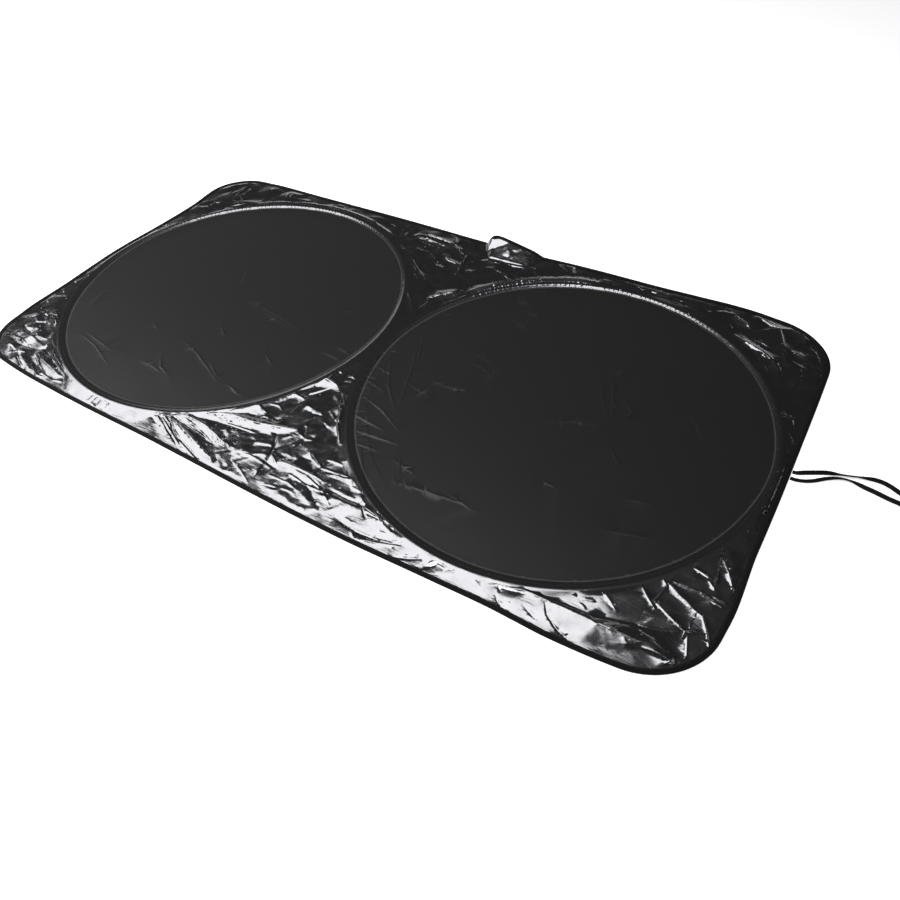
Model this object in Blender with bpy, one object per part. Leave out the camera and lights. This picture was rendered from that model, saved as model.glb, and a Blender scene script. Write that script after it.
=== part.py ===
"""Twin-hoop folding car sunshade, opened out flat on a surface.

A rectangular sheet of coated cloth is held open by two spring-steel hoops
that lie side by side. Each hoop runs in a tape casing sewn under the sheet.
The sheet is taut over the hoops and slack and creased outside them. A tape
binding folded over the edge runs round the whole sheet, and an elastic strap
comes out of it at the middle of one short end.

Metres, +Z up. The origin is at the middle of the sheet, on the surface that it
lies on. +X runs along the sheet towards the strap.
"""

import math
import random

import bpy
import bmesh
from mathutils import Vector
from mathutils.geometry import delaunay_2d_cdt

MM = 0.001

# The sheet and the two hoops. The hoops fill the sheet's length and lie a little
# nearer its near long edge.
SHEET_LENGTH = 1.500
END_MARGIN = 0.0155
HOOP_GAP = 0.021
SIDE_MARGIN = 0.043
HOOP_SHIFT = -0.005
CORNER_RADIUS = 0.115
FILM_THICKNESS = 0.0005
CLEARANCE = 0.0003

HOOP_RADIUS = (SHEET_LENGTH - 2 * END_MARGIN - HOOP_GAP) / 4
HOOP_OFFSET = HOOP_RADIUS + HOOP_GAP / 2
SHEET_WIDTH = 2 * (HOOP_RADIUS + SIDE_MARGIN)

# The spring-steel wire and the tape casing that it runs in.
WIRE_DIAMETER = 0.0030
CASING_TAPE = 0.0006
CASING_FLANGE = 0.0060
HOOP_STATIONS = 60
WIRE_SIDES = 8

CASING_INNER = WIRE_DIAMETER / 2 + CLEARANCE
CASING_OUTER = CASING_INNER + CASING_TAPE
WIRE_CENTRE_Z = CASING_TAPE + CLEARANCE + WIRE_DIAMETER / 2
CREST_Z = WIRE_CENTRE_Z + WIRE_DIAMETER / 2 + CLEARANCE + FILM_THICKNESS

# The film's profile across a hoop, from the taut disc over the crest and down.
DISC_SAG = 0.0035
DISC_SLOPE = 0.017
CREST_HALF_WIDTH = CASING_OUTER + 0.0008
CREST_DROP = 0.0005
INNER_DROP = 0.0002

# The binding tape, folded over the sheet's edge.
BINDING_WIDTH = 0.0085
BINDING_TAPE = 0.0005
BINDING_COVER = 0.0015
BINDING_HEIGHT = 2 * (BINDING_TAPE + CLEARANCE) + FILM_THICKNESS
EDGE_STEP = 0.045
CORNER_STEPS = 6

# The raised fold at the middle of the far edge: place along X and lift.
EDGE_LIFT = (
    (11, 0), (18, 12), (27, 21.5), (42, 24.5), (68, 20.5), (100, 14), (130, 7), (147, 0),
)

# How far the edge falls short of the full rectangle, along X or Y.
NEAR_BOW = (
    (-640, 17), (-600, 13), (-540, 9.5), (-440, 6.5), (-340, 5.3), (-240, 5.7), (-120, 3.3),
    (0, 0.5), (120, -1.5), (240, -1), (320, 1.7), (460, 5.7), (560, 3.3), (600, 6), (640, 9),
)
FAR_BOW = (
    (-690, 3), (-640, 6), (-580, 2.5), (-480, 4), (-240, 4), (-120, 6), (0, 9.5), (165, 7.5),
    (200, 4.7), (280, 2.7), (400, 2.7), (480, 0), (560, -2.5), (600, 0), (640, 6), (716, 8.5),
)
LEFT_BOW = (
    (-290, 4.5), (-250, 0), (-150, 0), (-90, -3), (-30, -5), (30, -3), (70, 1), (120, 6),
    (190, 10), (230, 11.5), (280, 7), (340, -1),
)
RIGHT_BOW = ((-370, 3.4), (-290, 3), (-250, 0), (-150, 2.4), (-90, 1), (0, 0), (290, 1), (370, 3))

# The folds were laid out on a sheet of this size and stretch with the real one.
FOLD_SHEET_LENGTH = 1.500
FOLD_SHEET_WIDTH = 0.810

# Crease lines of the slack film, in millimetres: X, Y and the film's height.
NEAR_LEFT_FOLDS = (
    ((-702, -222, 5), (-660, -244, 6.5), (-624, -266, 4)),
    ((-716, -250, 2), (-674, -264, 1.5), (-636, -286, 1.5)),
    ((-732, -276, 2.5), (-702, -260, 5), (-688, -240, 3)),
    ((-694, -302, 5), (-650, -308, 7.5), (-612, -302, 5.5)),
    ((-700, -330, 1.5), (-650, -337, 1.5), (-606, -334, 1.4)),
    ((-600, -310, 5), (-545, -332, 4.8), (-480, -354, 3.6)),
    ((-592, -324, 1.8), (-540, -342, 1.6), (-486, -362, 1.5)),
    ((-592, -340, 5.2), (-545, -352, 4.6), (-505, -363, 3)),
    ((-600, -354, 2), (-552, -368, 1.4), (-505, -376, 1.4)),
    ((-636, -352, 5.5), (-602, -368, 4.2), (-566, -380, 2.2)),
    ((-676, -346, 4.5), (-646, -366, 2)),
    ((-386, -370, 3.4), (-384, -383, 2.4)),
    ((-375, -369, 2.0), (-373, -384, 1.2)),
    ((-364, -369, 3.4), (-360, -383, 2.2)),
)
NEAR_MIDDLE_FOLDS = (
    ((-48, -134, 7), (-24, -136, 7.5), (0, -138, 6)),
    ((-58, -158, 2.2), (-30, -157, 2), (-4, -152, 2.6), (-32, -180, 1.4), (-35, -206, 1.2)),
    ((-78, -190, 5.5), (-42, -187, 5)),
    ((14, -148, 5.5), (44, -186, 6.5), (66, -220, 6.5), (92, -256, 5)),
    ((26, -198, 1.8), (46, -228, 1.4), (68, -264, 1.4)),
    ((-14, -206, 6.5), (20, -212, 5)),
    ((-12, -226, 3), (8, -246, 1.6), (30, -268, 1.8)),
    ((-130, -258, 5), (-98, -245, 6), (-62, -240, 4)),
    ((-150, -277, 2), (-100, -268, 1.4), (-45, -261, 2)),
    ((-168, -291, 4.6), (-150, -292, 6), (-90, -282, 8.5), (-30, -271, 8.5), (10, -260, 6)),
    ((-192, -310, 2.2), (-120, -309, 1.6), (-56, -302, 1.8), (-20, -283, 3)),
    ((-20, -283, 3), (-2, -312, 1.4), (6, -340, 1.4), (12, -374, 1.2)),
    ((-54, -323, 3.5), (-8, -310, 5.5)),
    ((58, -290, 5.5), (98, -309, 5)),
    ((54, -304, 1.8), (90, -320, 1.4)),
    ((100, -316, 5.5), (160, -304, 4.6)),
    ((-240, -329, 4.4), (-190, -324, 5.8), (-140, -329, 5.4), (-60, -350, 4)),
    ((-232, -335, 2.2), (-180, -341, 1.6), (-100, -354, 1.4)),
    ((-228, -341, 4.6), (-190, -349, 5.2), (-140, -363, 5.6), (-60, -385, 3.2)),
    ((-222, -347, 2.2), (-180, -367, 1.5), (-140, -380, 1.3), (-104, -391, 1.2)),
    ((-236, -351, 4.2), (-200, -366, 4), (-168, -382, 2.8)),
    ((-250, -356, 2), (-214, -370, 1.3), (-190, -384, 1.3)),
    ((-50, -347, 6.4), (-5, -334, 5.4)),
    ((4, -322, 5.6), (34, -330, 7.4), (62, -326, 7.4), (94, -330, 5.6)),
    ((60, -330, 2), (96, -346, 1.4), (150, -380, 1.2)),
    ((100, -331, 5.2), (140, -347, 5.4), (176, -372, 3)),
)
NEAR_RIGHT_FOLDS = (
    ((122, -334, 5.4), (146, -342, 7), (200, -341, 7.6), (240, -346, 6.8), (280, -356, 5)),
    ((182, -379, 1.8), (215, -383, 1.4), (250, -383, 1.4), (292, -376, 1.8)),
    ((225, -364, 3.6), (214, -347, 4.6)),
    ((232, -392, 1.5), (262, -388, 2.4), (296, -374, 4.2)),
    ((306, -391, 1.3), (340, -378, 1.8)),
    ((350, -370, 4.2), (388, -374, 3.2)),
    ((344, -390, 1.3), (352, -384, 1.3), (366, -376, 2)),
    ((458, -372, 2.8), (463, -384, 1.6)),
    ((500, -378, 3.2), (524, -383, 2.4)),
    ((525, -362, 6), (533, -375, 4.4), (538, -385, 2)),
    ((536, -378, 2), (566, -386, 1.2)),
    ((440, -368, 4), (500, -352, 6), (545, -354, 8), (600, -353, 9), (660, -350, 9), (700, -356, 6)),
    ((484, -349, 2.4), (530, -346, 1.6), (590, -343, 1.4), (645, -327, 1.4), (700, -306, 2)),
    ((582, -389, 1.3), (620, -377, 1.5), (660, -361, 2.6), (700, -356, 6)),
    ((556, -320, 5), (590, -306, 6), (626, -270, 4.4)),
)
RIGHT_END_FOLDS = (
    ((626, -270, 4.4), (640, -284, 4), (655, -294, 3.4)),
    ((650, -281, 3), (680, -294, 3.4), (702, -305, 3.4)),
    ((642, -241, 3.6), (657, -248, 3.6), (697, -268, 3.4), (714, -276, 3.6), (728, -298, 3.2)),
    ((664, -221, 3.4), (657, -248, 3.6), (652, -284, 2.2), (646, -326, 1.8)),
    ((657, -242, 3.4), (700, -241, 3.4), (733, -249, 2.4)),
    ((678, -206, 3.6), (707, -214, 4)),
    ((705, -168, 3.8), (712, -218, 4)),
    ((697, -165, 4.6), (722, -195, 5), (735, -213, 2.6)),
    ((703, -282, 1.6), (706, -300, 1.4)),
    ((706, -308, 5), (715, -342, 3)),
    ((664, -262, 2), (690, -280, 1.8)),
)
FAR_RIGHT_FOLDS = (
    ((602, 386, 4), (643, 368, 6), (660, 326, 6.5), (673, 290, 6), (677, 262, 3)),
    ((572, 316, 4.6), (600, 302, 5.6), (632, 291, 6), (658, 277, 6), (671, 256, 4)),
    ((585, 330, 1.6), (620, 312, 1.4), (648, 300, 1.6)),
    ((632, 266, 1.6), (650, 252, 3.6), (664, 236, 2)),
    ((662, 376, 5), (686, 368, 5.4), (694, 348, 3)),
    ((680, 312, 4.8), (702, 310, 5)),
    ((690, 282, 5), (705, 252, 5), (708, 216, 2.4)),
    ((718, 300, 4.6), (733, 268, 3)),
    ((350, 383, 3.2), (440, 381, 3.4), (540, 383, 3.2)),
    ((420, 372, 1.2), (500, 366, 1.2)),
    ((534, 372, 4.8), (560, 372, 4.6), (590, 355, 4)),
    ((562, 352, 1.4), (600, 345, 1.4)),
)
FAR_MIDDLE_FOLDS = (
    ((-145, 352, 4.8), (-112, 361, 6), (-55, 353, 6.4)),
    ((-140, 340, 1.6), (-90, 331, 1.5), (-62, 330, 1.6)),
    ((-62, 384, 1.6), (-50, 352, 6), (-6, 322, 5)),
    ((-46, 303, 5.4), (-20, 292, 5.6), (2, 292, 4.8)),
    ((-40, 322, 1.6), (-14, 306, 1.6)),
    ((-30, 286, 1.6), (-8, 262, 1.4), (2, 242, 1.4)),
    ((2, 326, 5.6), (6, 284, 4.8), (16, 256, 4.6), (24, 234, 3)),
    ((44, 338, 1.8), (90, 344, 1.8), (136, 352, 1.6)),
    ((46, 329, 4.6), (90, 336, 4.2), (146, 344, 4)),
    ((136, 352, 1.6), (124, 390, 6)),
    ((37, 392, 20), (40, 366, 11), (44, 338, 2)),
    ((17, 388, 2.4), (26, 361, 1.6), (36, 336, 1.3)),
    ((76, 313, 5.4), (104, 298, 5), (128, 284, 3.4)),
    ((152, 345, 4.4), (174, 326, 3)),
    ((2, 157, 3.4), (20, 182, 6.2), (42, 202, 6.4)),
    ((34, 162, 1.5), (54, 186, 1.6)),
    ((-54, 170, 4.6), (-26, 138, 5.4), (-4, 114, 4.4)),
    ((-104, 266, 4.8), (-84, 242, 5), (-60, 220, 5.4), (-32, 206, 4.6)),
    ((-60, 258, 1.5), (-36, 234, 1.4), (-12, 210, 1.4)),
    ((-70, 308, 4.4), (-52, 284, 5), (-22, 270, 4.6)),
    ((218, 388, 4), (228, 366, 4.4)),
)
FAR_LEFT_FOLDS = (
    ((-704, 350, 4.6), (-684, 368, 4.4)),
    ((-650, 352, 4.6), (-664, 290, 5)),
    ((-662, 270, 4), (-630, 284, 5.4), (-598, 300, 4.6)),
    ((-640, 300, 1.5), (-600, 322, 1.4)),
    ((-545, 380, 3.6), (-530, 362, 5), (-475, 368, 4)),
    ((-686, 270, 4.6), (-690, 236, 4.6)),
    ((-560, 352, 4.6), (-545, 342, 4.2)),
)
FOLDS = (
    NEAR_LEFT_FOLDS + NEAR_MIDDLE_FOLDS + NEAR_RIGHT_FOLDS + RIGHT_END_FOLDS
    + FAR_RIGHT_FOLDS + FAR_MIDDLE_FOLDS + FAR_LEFT_FOLDS
)

# Small creases between the drawn folds.
CRUMPLE_SPACING = 0.021
CRUMPLE_CLEAR = 0.012
CRUMPLE_LOW = 0.0013
CRUMPLE_HIGH = 0.0048
CRUMPLE_SEED = 7
# Patches without small creases, in millimetres: low and high X, low and high Y.
SMOOTH_PATCHES = (
    (-480, -246, -405, -345), (130, 300, -380, -342), (255, 470, -405, -350),
    (480, 650, -350, -290), (530, 640, -378, -352), (60, 140, 340, 400),
    (-60, 0, -330, -280), (420, 600, 366, 405), (690, 745, 120, 260),
)
MERGE_DISTANCE = 0.0045
FILM_LOWEST = FILM_THICKNESS + CLEARANCE

# The elastic strap: a flat cord sewn at both ends under the binding.
STRAP_WIDTH = 0.0070
STRAP_THICKNESS = 0.0011
STRAP_POINTS = 42
# X, Y, height of the middle and turn about the run, 90 degrees lying flat.
STRAP_ROUTE = (
    (750.8, 34, 1.1, 90), (757, 34.5, 1.6, 100), (765, 38, 2.9, 126), (774, 43, 3.0, 130),
    (785, 49, 3.0, 130), (796, 54.5, 2.9, 124), (805, 58, 2.3, 95), (814, 60.5, 2.4, 66),
    (826, 64, 2.5, 60), (838, 68, 2.5, 60), (849, 71, 2.3, 85), (860, 73.5, 2.4, 112),
    (872, 73, 2.7, 122), (884, 69.5, 2.7, 122), (897, 63, 2.7, 122), (911, 57.5, 3.2, 135),
    (926, 55.5, 3.9, 155), (941, 57, 4.2, 175), (952, 51, 4.2, 180), (956, 40, 4.2, 180),
    (950, 28.5, 4.2, 180), (937, 24.5, 4.2, 185), (924, 29.5, 4.0, 200), (911, 36.5, 3.5, 215),
    (899, 42, 3.3, 225), (886, 43.5, 3.3, 225), (874, 46, 3.3, 226), (862, 48.5, 3.2, 228),
    (850, 50.5, 3.0, 236), (840, 53.5, 2.3, 265), (830, 55, 2.3, 292), (819, 54, 2.3, 294),
    (808, 50, 1.9, 280), (797, 43, 1.5, 268), (785, 32.5, 1.5, 266), (774, 25, 1.4, 268),
    (763, 21, 1.2, 270), (757, 20, 1.1, 270), (750.8, 20, 1.1, 270),
)


def clear_scene():
    for item in list(bpy.data.objects):
        bpy.data.objects.remove(item, do_unlink=True)


def make_material(name, colour, roughness, metallic=0.0):
    material = bpy.data.materials.new(name)
    material.use_nodes = True
    shader = material.node_tree.nodes["Principled BSDF"]
    shader.inputs["Base Color"].default_value = (*colour, 1.0)
    shader.inputs["Roughness"].default_value = roughness
    shader.inputs["Metallic"].default_value = metallic
    return material


def add_mesh(name, vertices, faces, material, smooth_angle=None):
    mesh = bpy.data.meshes.new(name)
    mesh.from_pydata(vertices, [], faces)
    mesh.validate()
    work = bmesh.new()
    work.from_mesh(mesh)
    bmesh.ops.recalc_face_normals(work, faces=work.faces)
    work.to_mesh(mesh)
    work.free()
    if smooth_angle is not None:
        mesh.shade_smooth()
        mesh.set_sharp_from_angle(angle=math.radians(smooth_angle))
    mesh.materials.append(material)
    item = bpy.data.objects.new(name, mesh)
    bpy.context.collection.objects.link(item)
    return item


def between(table, place):
    """Height or offset at a place, read along straight lines between the table's points."""
    if place <= table[0][0]:
        return table[0][1]
    for (left, low), (right, high) in zip(table, table[1:]):
        if place <= right:
            return low + (high - low) * (place - left) / (right - left)
    return table[-1][1]


def along_side(table, place, full):
    """Shortfall of an edge at a place, with the table stretched to the sheet."""
    return between(table, place / full / MM) * MM


def straight_places(length):
    steps = max(2, round(length / EDGE_STEP))
    return [-length / 2 + length * step / steps for step in range(1, steps)]


def far_places(length):
    """Stations on the far edge: even ones, and those of the raised fold in its stretch."""
    fold = [place * MM * SHEET_LENGTH / FOLD_SHEET_LENGTH for place, lift in EDGE_LIFT]
    margin = EDGE_STEP / 3
    even = [p for p in straight_places(length) if p < fold[0] - margin or p > fold[-1] + margin]
    return sorted(even + fold)


def edge_stations():
    """Points round the sheet's outline, anticlockwise from above, each with its lift."""
    stretch_x = SHEET_LENGTH / FOLD_SHEET_LENGTH
    stretch_y = SHEET_WIDTH / FOLD_SHEET_WIDTH
    half_x = SHEET_LENGTH / 2
    half_y = SHEET_WIDTH / 2
    run_x = SHEET_LENGTH - 2 * CORNER_RADIUS
    run_y = SHEET_WIDTH - 2 * CORNER_RADIUS
    plain = []
    plain += [(place, -half_y) for place in straight_places(run_x)]
    plain += corner(half_x - CORNER_RADIUS, CORNER_RADIUS - half_y, -90)
    plain += [(half_x, place) for place in straight_places(run_y)]
    plain += corner(half_x - CORNER_RADIUS, half_y - CORNER_RADIUS, 0)
    plain += [(place, half_y) for place in reversed(far_places(run_x))]
    plain += corner(CORNER_RADIUS - half_x, half_y - CORNER_RADIUS, 90)
    plain += [(-half_x, -place) for place in straight_places(run_y)]
    plain += corner(CORNER_RADIUS - half_x, CORNER_RADIUS - half_y, 180)
    stations = []
    for x, y in plain:
        across = y / half_y
        along = x / half_x
        near = along_side(NEAR_BOW, x, stretch_x)
        far = along_side(FAR_BOW, x, stretch_x)
        left = along_side(LEFT_BOW, y, stretch_y)
        right = along_side(RIGHT_BOW, y, stretch_y)
        drop_y = far * max(across, 0) if y > 0 else -near * max(-across, 0)
        drop_x = right * max(along, 0) if x > 0 else -left * max(-along, 0)
        lift = along_side(EDGE_LIFT, x, stretch_x) if y > half_y - CLEARANCE else 0.0
        stations.append(Vector((x - drop_x, y - drop_y, lift)))
    return stations


def corner(centre_x, centre_y, first):
    """Points round one corner of the outline, a quarter turn from the first angle."""
    points = []
    for step in range(CORNER_STEPS + 1):
        angle = math.radians(first + 90 * step / CORNER_STEPS)
        points.append((centre_x + CORNER_RADIUS * math.cos(angle),
                       centre_y + CORNER_RADIUS * math.sin(angle)))
    return points


def inward_normals(stations):
    """Level normals into the sheet, lengthened at bends so that offsets stay parallel."""
    normals = []
    count = len(stations)
    for index, point in enumerate(stations):
        before = point - stations[index - 1]
        after = stations[(index + 1) % count] - point
        before = Vector((before.x, before.y, 0)).normalized()
        after = Vector((after.x, after.y, 0)).normalized()
        along = (before + after).normalized()
        normal = Vector((-along.y, along.x, 0))
        normals.append(normal / max(normal.dot(Vector((-before.y, before.x, 0))), 0.5))
    return normals


def sweep(name, rings, material, closed, smooth_angle=None):
    """A solid through rings of points, joined end to end or capped."""
    size = len(rings[0])
    vertices = [point for ring in rings for point in ring]
    faces = []
    last = len(rings) if closed else len(rings) - 1
    for row in range(last):
        low = row * size
        high = (row + 1) % len(rings) * size
        for side in range(size):
            following = (side + 1) % size
            faces.append((low + side, low + following, high + following, high + side))
    if not closed:
        faces.append(tuple(range(size)))
        faces.append(tuple(len(vertices) - size + side for side in range(size)))
    return add_mesh(name, vertices, faces, material, smooth_angle)


def hoop_angle(station):
    return 2 * math.pi * station / HOOP_STATIONS


def on_hoop(centre_x, station, offset, height):
    """A point beside the hoop's line: its station, distance outwards and height."""
    angle = hoop_angle(station)
    radius = HOOP_RADIUS + offset
    return Vector((centre_x + radius * math.cos(angle),
                   HOOP_SHIFT + radius * math.sin(angle), height))


def crest_profile():
    """The film's top over a hoop: distance outwards from the wire, and height."""
    return (
        (-CREST_HALF_WIDTH - DISC_SLOPE, CREST_Z - DISC_SAG),
        (-CREST_HALF_WIDTH, CREST_Z - INNER_DROP),
        (0.0, CREST_Z),
        (CREST_HALF_WIDTH, CREST_Z - CREST_DROP),
    )


def film_under(offset):
    """Height of the film's underside at a distance outwards from the wire."""
    return between(crest_profile(), offset) - FILM_THICKNESS


def make_hoop(name, centre_x, material):
    """The spring-steel wire, a closed ring."""
    radius = WIRE_DIAMETER / 2
    rings = []
    for station in range(HOOP_STATIONS):
        ring = []
        for side in range(WIRE_SIDES):
            turn = 2 * math.pi * (side + 0.5) / WIRE_SIDES
            ring.append(on_hoop(centre_x, station, radius * math.cos(turn),
                                WIRE_CENTRE_Z + radius * math.sin(turn)))
        rings.append(ring)
    return sweep(name, rings, material, closed=True, smooth_angle=60)


def casing_section():
    """Tape cupped round the wire, with its inner edge sewn flat under the film."""
    seat_outer = film_under(CASING_OUTER) - CLEARANCE
    seat_inner = film_under(-CASING_INNER) - CLEARANCE
    edge = -CASING_OUTER - CASING_FLANGE
    seat_edge = film_under(edge) - CLEARANCE
    seat_root = film_under(-CASING_OUTER) - CLEARANCE
    return (
        (edge, seat_edge - CASING_TAPE),
        (-CASING_OUTER, seat_root - CASING_TAPE),
        (-CASING_OUTER, 0.0),
        (CASING_OUTER, 0.0),
        (CASING_OUTER, seat_outer),
        (CASING_INNER, seat_outer),
        (CASING_INNER, CASING_TAPE),
        (-CASING_INNER, CASING_TAPE),
        (-CASING_INNER, seat_inner),
        (edge, seat_edge),
    )


def make_casing(name, centre_x, material):
    section = casing_section()
    rings = []
    for station in range(HOOP_STATIONS):
        rings.append([on_hoop(centre_x, station, out, height) for out, height in section])
    return sweep(name, rings, material, closed=True, smooth_angle=40)


def binding_section():
    """The folded tape's section: distance inwards from the outline, and height."""
    tape = BINDING_TAPE
    top = BINDING_HEIGHT
    return (
        (0.0, 0.0), (0.0, top), (BINDING_WIDTH, top), (BINDING_WIDTH, top - tape),
        (tape, top - tape), (tape, tape), (BINDING_WIDTH, tape), (BINDING_WIDTH, 0.0),
    )


def make_binding(stations, normals, material):
    rings = []
    for point, normal in zip(stations, normals):
        up = Vector((0, 0, 1))
        rings.append([point + normal * into + up * height for into, height in binding_section()])
    return sweep("edge_binding", rings, material, closed=True, smooth_angle=40)


class FilmPoints:
    """The film's top as points and crease lines, before it is cut into facets."""

    def __init__(self, stations, normals):
        self.places = []
        self.heights = []
        self.creases = []
        self.rim = []
        film_z = BINDING_TAPE + CLEARANCE + FILM_THICKNESS
        self.inner_rim = []
        for point, normal in zip(stations, normals):
            self.rim.append(self.add(point + normal * (BINDING_TAPE + CLEARANCE), point.z + film_z))
        for point, normal in zip(stations, normals):
            inner = point + normal * (BINDING_WIDTH + BINDING_COVER)
            self.inner_rim.append(self.add(inner, point.z + film_z))
        self.close(self.rim)
        self.close(self.inner_rim)

    def add(self, point, height):
        self.places.append((point[0], point[1]))
        self.heights.append(max(height, FILM_LOWEST))
        return len(self.places) - 1

    def close(self, ring):
        self.creases += list(zip(ring, ring[1:] + ring[:1]))

    def nearest(self, x, y):
        gaps = [math.hypot(x - px, y - py) for px, py in self.places]
        best = min(range(len(gaps)), key=gaps.__getitem__)
        return best, gaps[best]

    def rim_distance(self, x, y):
        """Distance inside the sheet from the binding's covered strip, below 0 outside it."""
        best = None
        inside = False
        ring = [self.places[index] for index in self.inner_rim]
        for (ax, ay), (bx, by) in zip(ring, ring[1:] + ring[:1]):
            if (ay > y) != (by > y) and x < (bx - ax) * (y - ay) / (by - ay) + ax:
                inside = not inside
            length = max((bx - ax) ** 2 + (by - ay) ** 2, 1e-12)
            share = min(max(((x - ax) * (bx - ax) + (y - ay) * (by - ay)) / length, 0), 1)
            gap = math.hypot(x - ax - share * (bx - ax), y - ay - share * (by - ay))
            best = gap if best is None else min(best, gap)
        return best if inside else -best


def add_hoop_points(film, centre_x):
    """Rings of film points over one hoop, and a few on the taut disc inside it."""
    profile = crest_profile()
    for place, (offset, height) in enumerate(profile):
        step = 2 if place == 0 else 1
        ring = [film.add(on_hoop(centre_x, station, offset, 0), height)
                for station in range(0, HOOP_STATIONS, step)]
        film.close(ring)
    for share, step in ((0.72, 5), (0.36, 10)):
        for station in range(0, HOOP_STATIONS, step):
            film.add(on_hoop(centre_x, station, (share - 1) * HOOP_RADIUS, 0), CREST_Z - DISC_SAG)
    film.add((centre_x, HOOP_SHIFT), CREST_Z - DISC_SAG)


def place_on_film(film, x, y):
    """A fold's point on the real sheet, kept between the hoops and the binding."""
    x *= SHEET_LENGTH / FOLD_SHEET_LENGTH
    y *= SHEET_WIDTH / FOLD_SHEET_WIDTH
    centre_x = math.copysign(HOOP_OFFSET, x)
    out = math.hypot(x - centre_x, y - HOOP_SHIFT)
    closest = HOOP_RADIUS + CREST_HALF_WIDTH + 2 * MERGE_DISTANCE / 3
    if out < closest:
        x = centre_x + (x - centre_x) * closest / out
        y = HOOP_SHIFT + (y - HOOP_SHIFT) * closest / out
    if film.rim_distance(x, y) < MERGE_DISTANCE / 2:
        return None
    return x, y


def add_folds(film):
    """The drawn crease lines. Points that nearly meet are shared."""
    for fold in FOLDS:
        previous = None
        for x, y, height in fold:
            placed = place_on_film(film, x * MM, y * MM)
            if placed is None:
                previous = None
                continue
            index, gap = film.nearest(*placed)
            if gap > MERGE_DISTANCE:
                index = film.add(placed, height * MM)
            if previous is not None and previous != index:
                film.creases.append((previous, index))
            previous = index


def in_slack(film, x, y):
    """Whether a place lies on the slack film, clear of hoops and binding."""
    for centre_x in (-HOOP_OFFSET, HOOP_OFFSET):
        out = math.hypot(x - centre_x, y - HOOP_SHIFT) - HOOP_RADIUS
        if out < CRUMPLE_CLEAR:
            return False
    for low_x, high_x, low_y, high_y in SMOOTH_PATCHES:
        if low_x < x / MM < high_x and low_y < y / MM < high_y:
            return False
    return film.rim_distance(x, y) > CRUMPLE_CLEAR / 2


def add_crumples(film):
    """Small creases at chance places, clear of the drawn folds."""
    chance = random.Random(CRUMPLE_SEED)
    columns = int(SHEET_LENGTH / CRUMPLE_SPACING)
    rows = int(SHEET_WIDTH / CRUMPLE_SPACING)
    for column in range(columns):
        for row in range(rows):
            x = (column + chance.random()) * CRUMPLE_SPACING - SHEET_LENGTH / 2
            y = (row + chance.random()) * CRUMPLE_SPACING - SHEET_WIDTH / 2
            height = chance.uniform(CRUMPLE_LOW, CRUMPLE_HIGH)
            if not in_slack(film, x, y):
                continue
            if film.nearest(x, y)[1] > CRUMPLE_CLEAR:
                film.add((x, y), height)


def cut_into_facets(film):
    """Triangles through the film's points that keep every crease line as an edge."""
    places = [Vector(place) for place in film.places]
    result = delaunay_2d_cdt(places, film.creases, [film.rim], 1, 1e-6)
    points, edges, faces, sources = result[0], result[1], result[2], result[3]
    heights = [film.heights[source[0]] if source else None for source in sources]
    near = {index: [] for index in range(len(points))}
    for low, high in edges:
        near[low].append(high)
        near[high].append(low)
    for index, height in enumerate(heights):
        if height is None:
            known = [heights[other] for other in near[index] if heights[other] is not None]
            heights[index] = sum(known) / len(known)
    top = [Vector((point.x, point.y, height)) for point, height in zip(points, heights)]
    return top, faces


def make_panel(film, material):
    """The sheet: the facets, the same facets a thickness lower, and the cut edge."""
    top, faces = cut_into_facets(film)
    count = len(top)
    drop = Vector((0, 0, FILM_THICKNESS))
    vertices = top + [point - drop for point in top]
    solid = [tuple(face) for face in faces]
    solid += [tuple(count + index for index in reversed(face)) for face in faces]
    used = {}
    for face in faces:
        for low, high in zip(face, face[1:] + face[:1]):
            used[(low, high)] = True
    for low, high in used:
        if (high, low) not in used:
            solid.append((low, count + low, count + high, high))
    return add_mesh("panel", vertices, solid, material)


def smooth_route(route, count):
    """Points along a smooth curve through the route, evenly shared between its points."""
    points = [Vector((x * MM, y * MM, z * MM, math.radians(turn))) for x, y, z, turn in route]
    result = []
    for step in range(count):
        place = step * (len(points) - 1) / (count - 1)
        index = min(int(place), len(points) - 2)
        share = place - index
        before = points[max(index - 1, 0)]
        start = points[index]
        end = points[index + 1]
        after = points[min(index + 2, len(points) - 1)]
        bend = (end - before) * 0.5
        lead = (after - start) * 0.5
        square = share * share
        cube = square * share
        result.append(start * (2 * cube - 3 * square + 1) + bend * (cube - 2 * square + share)
                      + end * (3 * square - 2 * cube) + lead * (cube - square))
    return result


def make_strap(material):
    """The elastic strap, a flat ribbon that turns as it runs out and back."""
    curve = bpy.data.curves.new("strap", "CURVE")
    curve.dimensions = "3D"
    curve.twist_mode = "Z_UP"
    curve.bevel_depth = STRAP_THICKNESS / 2
    curve.bevel_resolution = 2
    curve.extrude = (STRAP_WIDTH - STRAP_THICKNESS) / 2
    curve.use_fill_caps = True
    shift = SHEET_LENGTH / 2 - FOLD_SHEET_LENGTH / 2
    route = smooth_route(STRAP_ROUTE, STRAP_POINTS)
    spline = curve.splines.new("POLY")
    spline.points.add(len(route) - 1)
    for point, (x, y, z, turn) in zip(spline.points, route):
        point.co = (x + shift, y, z, 1.0)
        point.tilt = turn
    curve.materials.append(material)
    item = bpy.data.objects.new("strap", curve)
    bpy.context.collection.objects.link(item)
    return item


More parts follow.
